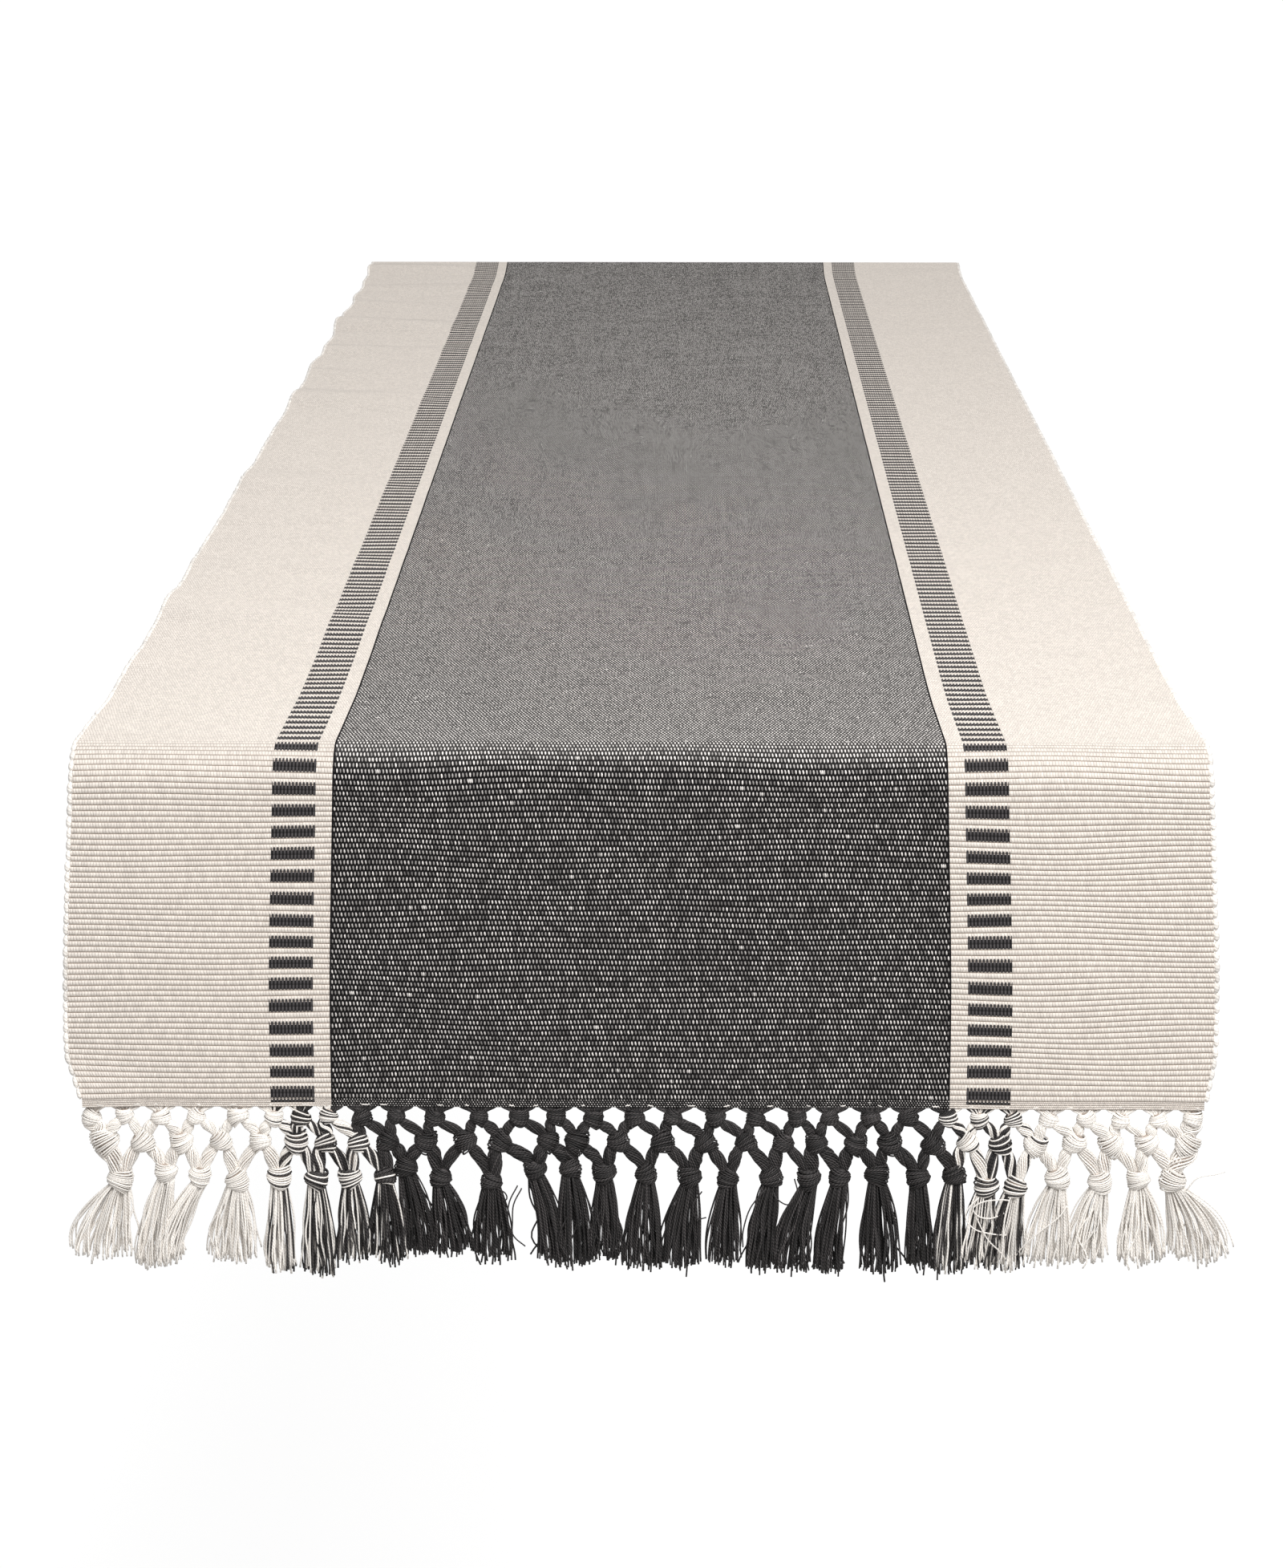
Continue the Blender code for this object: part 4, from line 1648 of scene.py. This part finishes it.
@dataclass
class Fringe:
    """The net and the tassels of one end.

    Places in it are (across, out from the drop's plane, down from the hem).

    Args:
        sizes: sizes of the frame.
        drape: how the cloth lies, for the width of the hem.
        end: which end it is.
        layout: where its knots and tassels sit.
        finishes: the materials.
        depths: from the hem to the middle of each row of knots.
        yarn: radius of a yarn.
        knot_widths: across a knot of each row.
        knot_heights: of the wraps of a knot of each row.
        knot_tilts: most that a knot of each row tilts, in radians.
        leg_rings: half the thickness of a leg below each row.
        knot_taper: how much slimmer a knot is at its first and last wrap.
        knot_flatness: depth of a knot as a share of its width.
        knot_yarns: wraps round a knot.
        leg_yarns: yarns seen round a leg of the net.
        fan_yarns: yarns from the hem to a knot of the first row.
        tassel_yarns: yarns in a tassel.
        neck: half the width and half the depth of a tassel at its knot.
        tip_depth: half the depth of a tassel at its tips.
        ragged: how uneven the tips are.
        stray_share: share of yarns that stray far.
        drift: how far to the right of its threads a knot of the first row sits.
    """

    sizes: FrameSizes
    drape: Drape
    end: End
    layout: FringeLayout
    finishes: Finishes
    depths: tuple[float, float, float] = (0.0039, 0.0133, 0.0263)
    yarn: float = 0.00033
    knot_widths: tuple[float, float, float] = (0.0073, 0.0085, 0.0087)
    knot_heights: tuple[float, float, float] = (0.0060, 0.0078, 0.0076)
    knot_tilts: tuple[float, float, float] = (0.40, 0.72, 0.36)
    leg_rings: tuple[float, float] = (0.00160, 0.00190)
    knot_taper: float = 0.52
    knot_flatness: float = 0.80
    knot_yarns: int = 11
    leg_yarns: int = 14
    fan_yarns: int = 24
    tassel_yarns: int = 62
    neck: tuple[float, float] = (0.0028, 0.0020)
    tip_depth: float = 0.0040
    ragged: float = 0.0012
    stray_share: float = 0.07
    drift: float = 0.004

    def __post_init__(self) -> None:
        """Lay out the knots."""
        self.rng = np.random.default_rng(101 if self.end is End.FRONT else 202)
        self.hem_share = float(self.drape.width_share(np.array(self.sizes.cloth_half)))
        self.body_half = self.sizes.edges[7]
        rows = (self.layout.first, self.layout.second, self.layout.third)
        self.knot_x = [np.array(row) * MM for row in rows]
        self.knot_down = [
            depth + self.rng.uniform(-1, 1, len(x)) * 0.0006
            for depth, x in zip(self.depths, self.knot_x)
        ]
        self.knot_down[2] = self.depths[2] + np.array(self.layout.lower) * MM
        self.lay_colours()

    @property
    def tassels(self) -> int:
        """Number of tassels."""
        return len(self.layout.third)

    def black_at(self, across: np.ndarray) -> np.ndarray:
        """Share of black among the threads at these places of the hem.

        Args:
            across: places across.

        Returns:
            The share at each.
        """
        away = np.abs(across) / self.hem_share
        edges = self.sizes.edges
        panel = away < edges[4]
        dashes = (away > edges[5]) & (away < edges[6])
        return np.where(panel, 1.0, np.where(dashes, 0.60, 0.0))

    def lay_colours(self) -> None:
        """Follow the dyed yarns from the hem down through the knots."""
        spread = np.linspace(-0.0065, 0.0065, 27)
        first = self.black_at(self.knot_x[0][:, None] + spread - self.drift)
        legs_left = first[:, :13].mean(axis=1)
        legs_right = first[:, 14:].mean(axis=1)
        self.knot_black = [first.mean(axis=1)]
        self.leg_black: list[tuple[np.ndarray, np.ndarray]] = [(legs_left, legs_right)]
        for _ in (1, 2):
            from_left, from_right = legs_right[:-1], legs_left[1:]
            self.knot_black.append((from_left + from_right) / 2)
            legs_left = 0.7 * from_left + 0.3 * from_right
            legs_right = 0.3 * from_left + 0.7 * from_right
            self.leg_black.append((legs_left, legs_right))

    def stripes(self, black: np.ndarray, count: int, bunch: float) -> np.ndarray:
        """Which of the yarns lying side by side are black, in bunches.

        Args:
            black: share of black of each group of yarns.
            count: yarns in a group.
            bunch: about how many yarns of one colour lie together.

        Returns:
            Groups, yarns, each 1 for black and 0 for ivory.
        """
        phase = self.rng.uniform(0, 1, (len(black), 1))
        pace = self.rng.uniform(0.8, 1.25, (len(black), 1)) / (2 * bunch)
        order = (np.arange(count)[None, :] * pace + phase) % 1.0
        share = np.where(black < 0.03, 0.0, np.where(black > 0.97, 1.0, black))
        return (order < share[:, None]).astype(int)

    def to_frame(self, local: np.ndarray) -> np.ndarray:
        """Points of the fringe in the row frame.

        Args:
            local: points in the fringe's own places.

        Returns:
            The same points.
        """
        side = self.end.value
        hem = self.sizes.hem_z - self.drape.sag
        x, out, down = local[..., 0], local[..., 1], local[..., 2]
        return np.stack([x, side * (self.sizes.drop_y + out), hem - down], axis=-1)

    def zone_limits(self, zone: Zone) -> tuple[float, float]:
        """Left and right end of a colour zone.

        Args:
            zone: the zone.

        Returns:
            Both places.
        """
        x = self.knot_x[2]
        low = -1.0 if zone.first == 0 else (x[zone.first - 1] + x[zone.first]) / 2
        high = 1.0 if zone.last == self.tassels - 1 else (x[zone.last] + x[zone.last + 1]) / 2
        return low, high

    def add_yarns(
        self,
        mesh: PieceMesh,
        local: np.ndarray,
        colours: np.ndarray,
        radii: np.ndarray | float,
        looped: bool = False,
        level: Sequence[float] = (0.0, 1.0, 0.0),
        sides: int = 6,
    ) -> None:
        """Add yarns to a mesh, given by their paths in the fringe's own places.

        Args:
            mesh: what they are added to.
            local: paths: yarns, points along, 3.
            colours: material number of each.
            radii: of each yarn, or of each point.
            looped: whether each closes on itself.
            level: a direction that no yarn runs in.
            sides: points round.
        """
        paths = self.to_frame(local)
        rings = yarn_rings(paths, radii, sides, looped, level)
        mesh.add(rings, yarn_map(paths, sides, mesh.body_count, looped), colours, looped)

    # knots

    def add_knots(self, mesh: PieceMesh, row: int, picked: np.ndarray) -> None:
        """Add the wraps and the inside of knots of one row.

        Args:
            mesh: what they are added to.
            row: row of knots, from 0 at the hem.
            picked: numbers of the knots.
        """
        if not len(picked):
            return
        rng = self.rng
        count, steps, wraps = len(picked), 26, self.knot_yarns
        x, down = self.knot_x[row][picked], self.knot_down[row][picked]
        edge = (picked == 0) | (picked == len(self.knot_x[row]) - 1)
        edge_grow = 1.04 if row == 0 else 1.18
        grow = rng.uniform(0.92, 1.10, count) * np.where(edge, edge_grow, 1.0)
        tilt = rng.choice((-1, 1), count) * rng.uniform(0.12, self.knot_tilts[row], count)
        angle = np.linspace(0, 2 * math.pi, steps, endpoint=False)[None, None, :]
        pinch = rng.choice((0, math.pi), count)[:, None, None]
        pinch = pinch + rng.uniform(-0.5, 0.5, (count, 1, 1))
        level = np.linspace(-1, 1, wraps)[None, :, None]
        level = level + rng.uniform(-0.05, 0.05, (count, wraps, 1))
        half = self.knot_widths[row] / 2 - self.yarn
        radius = half * np.sqrt(np.clip(1 - self.knot_taper * level**2, 0, 1))
        radius = radius * rng.uniform(0.95, 1.06, (count, wraps, 1))
        size = grow[:, None, None]
        side = radius * np.cos(angle) * size
        out = radius * self.knot_flatness * np.sin(angle) * size
        height = level * self.knot_heights[row] / 2 * (0.84 + 0.24 * np.cos(angle - pinch))
        bow = rng.uniform(-1, 1, (count, 1, 1)) * 0.0004 * np.cos(2 * angle)
        height = (height + bow) * size
        lean = tilt[:, None, None]
        local = np.stack(
            [
                x[:, None, None] + side * np.cos(lean) - height * np.sin(lean),
                np.broadcast_to(out, height.shape),
                down[:, None, None] + height * np.cos(lean) + side * np.sin(lean),
            ],
            axis=-1,
        )
        black = self.knot_black[row][picked]
        colours = self.stripes(black, wraps, 1.3)
        self.add_yarns(
            mesh, local.reshape(-1, steps, 3), colours.ravel(), self.yarn, True, (0.0, 0.0, 1.0)
        )
        share = np.linspace(-1, 1, 7)
        core = np.zeros((count, 7, 3))
        core[..., 0] = x[:, None] - np.sin(tilt)[:, None] * share * self.knot_heights[row] * 0.40
        core[..., 2] = down[:, None] + np.cos(tilt)[:, None] * share * self.knot_heights[row] * 0.44
        swell = np.sqrt(np.clip(1 - 0.75 * share**2, 0, 1)) * grow[:, None]
        radii = (half - 0.5 * self.yarn) * self.knot_flatness * swell
        # An ivory core takes the darker inner yarn: painted shade inside the knot.
        self.add_yarns(mesh, core, np.where(black > 0.5, 1, 2), radii, sides=10)

    # legs

    def leg_ends(self, row: int) -> tuple[np.ndarray, np.ndarray, np.ndarray, np.ndarray]:
        """Legs between one row of knots and the next.

        Args:
            row: upper row of knots, from 0 at the hem.

        Returns:
            Upper knots, lower knots, side on which each leg leaves its upper knot, and share of
            black.
        """
        upper_count = len(self.knot_x[row])
        lower = np.arange(upper_count - 1)
        left, right = self.leg_black[row]
        tops = np.concatenate([lower, lower + 1, [0, upper_count - 1]])
        feet = np.concatenate([lower, lower, [0, upper_count - 2]])
        sides = np.concatenate([np.ones(len(lower)), -np.ones(len(lower)), [-1.0, 1.0]])
        black = np.concatenate([right[:-1], left[1:], [left[0], right[-1]]])
        return tops, feet, sides, black

    def add_legs(self, mesh: PieceMesh, row: int, low: float, high: float) -> None:
        """Add the legs below one row of knots whose middles are between two places.

        Args:
            mesh: what they are added to.
            row: upper row of knots.
            low: left limit.
            high: right limit.
        """
        tops, feet, sides, black = self.leg_ends(row)
        x_top, x_foot = self.knot_x[row][tops], self.knot_x[row + 1][feet]
        pick = ((x_top + x_foot) / 2 >= low) & ((x_top + x_foot) / 2 < high)
        if not pick.any():
            return
        rng = self.rng
        tops, feet, sides, black = tops[pick], feet[pick], sides[pick], black[pick]
        x_top, x_foot = x_top[pick], x_foot[pick]
        edge = (tops == 0) | (tops == len(self.knot_x[row]) - 1)
        count, steps = len(tops), 11
        zero = np.zeros(count)
        down_top, down_foot = self.knot_down[row][tops], self.knot_down[row + 1][feet]
        drop = down_foot - down_top
        front = rng.uniform(-1, 1, count) * 0.0007
        start = np.stack([x_top + sides * 0.0016, front, down_top + 0.0014], axis=-1)
        stop = np.stack([x_foot - sides * 0.0010, front, down_foot - 0.0014], axis=-1)
        aim = start + np.stack([sides * 0.0020, zero + 0.0004, drop * 0.22], axis=-1)
        brake = stop - np.stack([sides * 0.0012, zero - 0.0003, drop * 0.40], axis=-1)
        spine = curve_between(start, aim, brake, stop, steps)
        share = np.linspace(0, 1, steps)[None, :]
        thick = self.leg_rings[row] * rng.uniform(0.9, 1.12, (count, 1))
        thick = thick * np.where(edge, 1.25, 1.0)[:, None]
        ring = thick * (0.62 + 0.48 * np.sin(share * math.pi))
        turns = rng.choice((-1, 1), (count, 1)) * rng.uniform(0.20, 0.55, (count, 1))
        twist = 2 * math.pi * (turns * share + rng.uniform(0, 1, (count, 1)))
        heading = unit(np.gradient(spine, axis=1))
        outward = np.array([0.0, 1.0, 0.0])
        beside = unit(np.cross(heading, outward))
        place = np.arange(self.leg_yarns) * 2 * math.pi / self.leg_yarns
        angle = place[None, :, None] + twist[:, None, :]
        offset = (
            beside[:, None] * np.cos(angle)[..., None]
            + outward * 0.78 * np.sin(angle)[..., None]
        )
        loose = rng.uniform(0.90, 1.10, (count, self.leg_yarns, 1, 1))
        local = spine[:, None] + offset * ring[:, None, :, None] * loose
        colours = self.stripes(black, self.leg_yarns, 2.0)
        self.add_yarns(mesh, local.reshape(-1, steps, 3), colours.ravel(), self.yarn)
        # An ivory core takes the darker inner yarn: painted shade inside the leg.
        self.add_yarns(mesh, spine, np.where(black > 0.5, 1, 2), ring * 0.80)

    # fans

    def add_fans(self, mesh: PieceMesh, picked: np.ndarray) -> None:
        """Add the yarns that run from the hem together into each knot of the first row.

        Args:
            mesh: what they are added to.
            picked: numbers of the knots.
        """
        if not len(picked):
            return
        rng = self.rng
        x_all = self.knot_x[0]
        hem_half = self.body_half * self.hem_share - self.drape.corner
        middles = (x_all[1:] + x_all[:-1]) / 2
        bounds = np.concatenate([[-hem_half], middles, [hem_half]])
        left, right = bounds[picked] + 0.0007, bounds[picked + 1] - 0.0007
        share = np.linspace(0, 1, self.fan_yarns)[None, :]
        hem_x = left[:, None] + (right - left)[:, None] * share
        knot = x_all[picked][:, None]
        away = hem_x - knot
        down = self.knot_down[0][picked][:, None] + 0 * share
        jitter = rng.uniform(-1, 1, hem_x.shape)
        start = np.stack([hem_x, jitter * 0.0003, 0 * hem_x - 0.0004], axis=-1)
        aim = np.stack([hem_x - away * 0.10, jitter * 0.0005, 0 * hem_x + 0.0011], axis=-1)
        brake = np.stack([knot + away * 0.42, jitter * 0.0008, 0 * hem_x + 0.0012], axis=-1)
        stop = np.stack([knot + away * 0.20, jitter * 0.0006, down * 0.85], axis=-1)
        points = [part.reshape(-1, 3) for part in (start, aim, brake, stop)]
        local = curve_between(*points, 8)
        flat_x = hem_x.ravel()
        black = (rng.uniform(0, 1, len(flat_x)) < self.black_at(flat_x)).astype(int)
        self.add_yarns(mesh, local, black, self.yarn * 0.95)

    def build_net(self, zone: Zone) -> bpy.types.Object:
        """The net of one colour zone.

        Args:
            zone: the zone.

        Returns:
            The piece.
        """
        low, high = self.zone_limits(zone)
        mesh = PieceMesh()
        for row in range(3):
            x = self.knot_x[row]
            picked = np.flatnonzero((x >= low) & (x < high))
            if row == 0:
                self.add_fans(mesh, picked)
            self.add_knots(mesh, row, picked)
            if row < 2:
                self.add_legs(mesh, row, low, high)
        name = f"{self.end.label}_net_{zone.name}_knots"
        piece = mesh.build(name, self.finishes.yarns)
        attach(piece, f"{self.end.label}_net")
        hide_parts(f"{self.end.label}_net_{zone.name}")
        return piece

    # tassels

    def tassel_paths(self, index: int) -> np.ndarray:
        """Paths of the yarns of one tassel, in order from left to right.

        Args:
            index: number of the tassel.

        Returns:
            Yarns, points along, 3.
        """
        rng = self.rng
        layout = self.layout
        count, steps = self.tassel_yarns, 15
        hinge = self.sizes.hem_z - self.drape.sag - self.sizes.tassel_axis_z
        knot_foot = self.knot_down[2][index] + 0.40 * self.knot_heights[2]
        share = np.linspace(0, 1, steps)[None, :]
        side = np.linspace(-1, 1, count) + rng.uniform(-0.5, 0.5, count) * 3 / count
        out = rng.uniform(-1, 1, count) * np.sqrt(np.clip(1.05 - side**2, 0, 1))
        spread, lean = layout.spread[index] * MM, layout.lean[index] * MM
        side, out = side[:, None], out[:, None]
        neck_x, neck_out = side * self.neck[0], out * self.neck[1]
        tip_x = lean + side * spread * rng.uniform(0.82, 1.10, (count, 1))
        tip_out = out * self.tip_depth + rng.uniform(-1, 1, (count, 1)) * 0.0005
        grow = 1 - (1 - share) ** rng.uniform(1.3, 2.3, (count, 1))
        start = min(hinge - 0.0004, knot_foot) - 0.0012 * rng.uniform(0.2, 1.0, (count, 1))
        ragged = rng.normal(0, 1, (count, 1)) * self.ragged
        rise = 0.35 * np.abs(tip_x - lean) ** 2 / 0.012
        stop = layout.length[index] * MM + 0.0008 + ragged - rise
        stray = np.where(rng.uniform(0, 1, (count, 1)) < self.stray_share, 3.6, 1.0)
        sway = 0.00085 * stray * rng.uniform(0.2, 1.2, (count, 1))
        pace = rng.uniform(0.5, 1.5, (count, 1))
        wave = sway * np.sin(2 * math.pi * (share * pace + rng.uniform(0, 1, (count, 1))))
        wave = wave * share**0.8
        x = self.knot_x[2][index] + neck_x + (tip_x - neck_x) * grow + wave
        outs = neck_out + (tip_out - neck_out) * grow + np.roll(wave, 1, axis=0) * 0.6
        down = start + (stop - start) * share
        return np.stack([x, outs, down], axis=-1)

    @staticmethod
    def thread_path(places: np.ndarray, steps: int = 6) -> np.ndarray:
        """Smooth path of a loose thread in front of the tassels, through places (across, down).

        Args:
            places: in metres.
            steps: points from one place to the next.

        Returns:
            Points along it, 3.
        """
        before, after = 2 * places[:1] - places[1:2], 2 * places[-1:] - places[-2:-1]
        ends = np.concatenate([before, places, after])
        share = np.linspace(0, 1, steps, endpoint=False)[:, None]
        parts = []
        for a, b, c, d in zip(ends, ends[1:], ends[2:], ends[3:]):
            bend = (2 * a - 5 * b + 4 * c - d) * share**2 + (3 * b - a - 3 * c + d) * share**3
            parts.append(b + 0.5 * ((c - a) * share + bend))
        flat = np.concatenate(parts + [places[-1:]])
        rise = np.sin(np.linspace(0.25, 0.9, len(flat)) * math.pi) * 0.0045
        return np.stack([flat[:, 0], rise, flat[:, 1]], axis=-1)

    def build_tassel(self, zone: Zone, index: int) -> bpy.types.Object:
        """One tassel: yarns that leave the last knot together and spread to uneven tips.

        Args:
            zone: its zone.
            index: its number.

        Returns:
            The piece.
        """
        local = self.tassel_paths(index)
        count, steps = local.shape[:2]
        colours = self.stripes(self.knot_black[2][index : index + 1], count, 2.6)[0]
        mesh = PieceMesh()
        radii = self.yarn * self.rng.uniform(0.85, 1.08, (count, 1)) * np.ones((1, steps))
        self.add_yarns(mesh, local, colours, radii)
        for tassel, dyed, places in self.layout.threads:
            if tassel == index:
                thread = self.thread_path(np.array(places) * MM)
                self.add_yarns(mesh, thread[None], np.array([dyed]), self.yarn * 0.8)
        name = f"{self.end.label}_tassel_{index + 1:02d}"
        piece = mesh.build(name, self.finishes.yarns[:2])
        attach(piece, f"{self.end.label}_tassels")
        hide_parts(f"{self.end.label}_tassels_{zone.name}")
        return piece

    def build(self) -> None:
        """Build the net and the tassels of this end."""
        for zone in ZONES:
            report(self.build_net(zone))
            for index in range(zone.first, zone.last + 1):
                report(self.build_tassel(zone, index))


# ---------------------------------------------------------------- studio


@dataclass(frozen=True)
class Studio:
    """A plain pale room: floor, soft light and camera.

    Args:
        floor_z: height of the floor, a table's height below the cloth.
        floor_half: half the side of the floor.
        camera: place of the camera.
        pitch: how far it looks down, in degrees.
        yaw: how far it looks to the left, in degrees.
        lens: focal length in millimetres, on a 36 mm long side.
        floor_glow: light of its own that the camera sees on the floor.
        room_light: strength of the even light.
        room_seen: how much brighter the room looks than it lights.
        near_place: place of the soft light near the front end.
        near_size: its side.
        near_power: its power in watts.
        sun_power: strength of the sun.
        sun_angle: how wide it looks, in degrees.
        sun_turn: how far it is turned from straight down about X and Y, in degrees.
    """

    floor_z: float = -0.75
    floor_half: float = 30.0
    camera: Point = (0.0172, -2.1626, 0.346)
    pitch: float = 13.962
    yaw: float = 0.668
    lens: float = 95.57
    floor_glow: float = 0.87
    room_light: float = 0.40
    room_seen: float = 0.75
    near_place: Point = (0.36, -1.50, 1.00)
    near_size: float = 0.8
    near_power: float = 12.5
    sun_power: float = 1.08
    sun_angle: float = 22.0
    sun_turn: tuple[float, float] = (45.0, 18.0)

    def build_floor(self) -> None:
        """A pale floor that looks nearly white and still takes a faint shadow."""
        bpy.ops.mesh.primitive_plane_add(size=2 * self.floor_half, location=(0, 0, self.floor_z))
        floor = bpy.context.object
        floor.name = "floor"
        material = bpy.data.materials.new("pale_floor")
        material.use_nodes = True
        graph = Graph(material.node_tree)
        shader = material.node_tree.nodes["Principled BSDF"]
        shader.inputs["Roughness"].default_value = 1.0
        shader.inputs["Specular IOR Level"].default_value = 0.0
        seen = graph.node("ShaderNodeLightPath").outputs["Is Camera Ray"]
        tint = graph.mix(seen, (0.62, 0.61, 0.60, 1.0), (0.30, 0.30, 0.30, 1.0))
        graph.feed(shader.inputs["Base Color"], tint)
        shader.inputs["Emission Color"].default_value = (1.0, 1.0, 1.0, 1.0)
        graph.feed(shader.inputs["Emission Strength"], graph.math("MULTIPLY", seen, self.floor_glow))
        floor.data.materials.append(material)

    def build_world(self) -> None:
        """Even light from all round, seen as white."""
        world = bpy.data.worlds.new("pale_room")
        world.use_nodes = True
        graph = Graph(world.node_tree)
        seen = graph.node("ShaderNodeLightPath").outputs["Is Camera Ray"]
        extra = graph.math("MULTIPLY", seen, self.room_seen)
        strength = graph.math("ADD", self.room_light, extra)
        background = world.node_tree.nodes["Background"]
        background.inputs["Color"].default_value = (1.0, 1.0, 1.0, 1.0)
        graph.feed(background.inputs["Strength"], strength)
        bpy.context.scene.world = world

    def add_area(
        self,
        name: str,
        place: Point,
        aim: Point,
        size: float,
        power: float,
    ) -> None:
        """A square soft light at a place, aimed at another.

        Args:
            name: of the light.
            place: where it is.
            aim: what it faces.
            size: its side in metres.
            power: in watts.
        """
        data = bpy.data.lights.new(name, "AREA")
        data.shape = "SQUARE"
        data.size = size
        data.energy = power
        light = bpy.data.objects.new(name, data)
        bpy.context.scene.collection.objects.link(light)
        away = [a - b for a, b in zip(place, aim)]
        light.location = place
        flat = math.hypot(away[0], away[1])
        light.rotation_euler = (
            math.atan2(flat, away[2]),
            0.0,
            math.atan2(away[1], away[0]) + math.pi / 2,
        )

    def build_lights(self) -> None:
        """A sun through haze from the front right, and a soft light near the front end."""
        aim = (0.0, -0.73, 0.0)
        self.add_area("near", self.near_place, aim, self.near_size, self.near_power)
        sun = bpy.data.lights.new("hazy_sun", "SUN")
        sun.energy = self.sun_power
        sun.angle = math.radians(self.sun_angle)
        light = bpy.data.objects.new("hazy_sun", sun)
        light.rotation_euler = (*(math.radians(turn) for turn in self.sun_turn), 0.0)
        bpy.context.scene.collection.objects.link(light)

    def build_camera(self) -> None:
        """The camera, level across, looking down the runner."""
        data = bpy.data.cameras.new("camera")
        data.lens = self.lens
        data.sensor_width = 36.0
        data.sensor_fit = "AUTO"
        data.clip_start = 0.01
        camera = bpy.data.objects.new("camera", data)
        camera.location = self.camera
        camera.rotation_euler = (math.radians(90 - self.pitch), 0.0, math.radians(self.yaw))
        bpy.context.scene.collection.objects.link(camera)
        bpy.context.scene.camera = camera

    def build(self) -> None:
        """Build the room."""
        self.build_camera()
        self.build_floor()
        self.build_world()
        self.build_lights()
        view = bpy.context.scene.view_settings
        view.view_transform = "Standard"
        view.look = "None"


# ---------------------------------------------------------------- making it


def report(piece: bpy.types.Object) -> None:
    """Log a piece and how many faces it has."""
    LOG.info("%s: %d faces", piece.name, len(piece.data.polygons))


def clear_start() -> None:
    """Remove what the start-up scene holds besides the frame."""
    kept = set(frame["nodes"].values()) | set(frame["bodies"].values())
    for obj in list(bpy.data.objects):
        if obj not in kept:
            bpy.data.objects.remove(obj, do_unlink=True)


def main() -> None:
    """Build the runner and its room."""
    logging.basicConfig(level=logging.INFO, format="%(message)s")
    clear_start()
    sizes = FrameSizes.read()
    drape = Drape(sizes)
    cloth = Cloth(sizes, drape)
    finishes = Finishes(sizes, cloth.rib)
    Studio().build()
    cloth.build(finishes)
    tassels = ZONES[-1].last + 1
    layouts = {
        End.FRONT: FRONT_LAYOUT,
        End.BACK: FringeLayout.chance(77, sizes.edges[7] / MM, tassels),
    }
    for end in End:
        Fringe(sizes, drape, end, layouts[end], finishes).build()


if __name__ == "__main__":
    main()
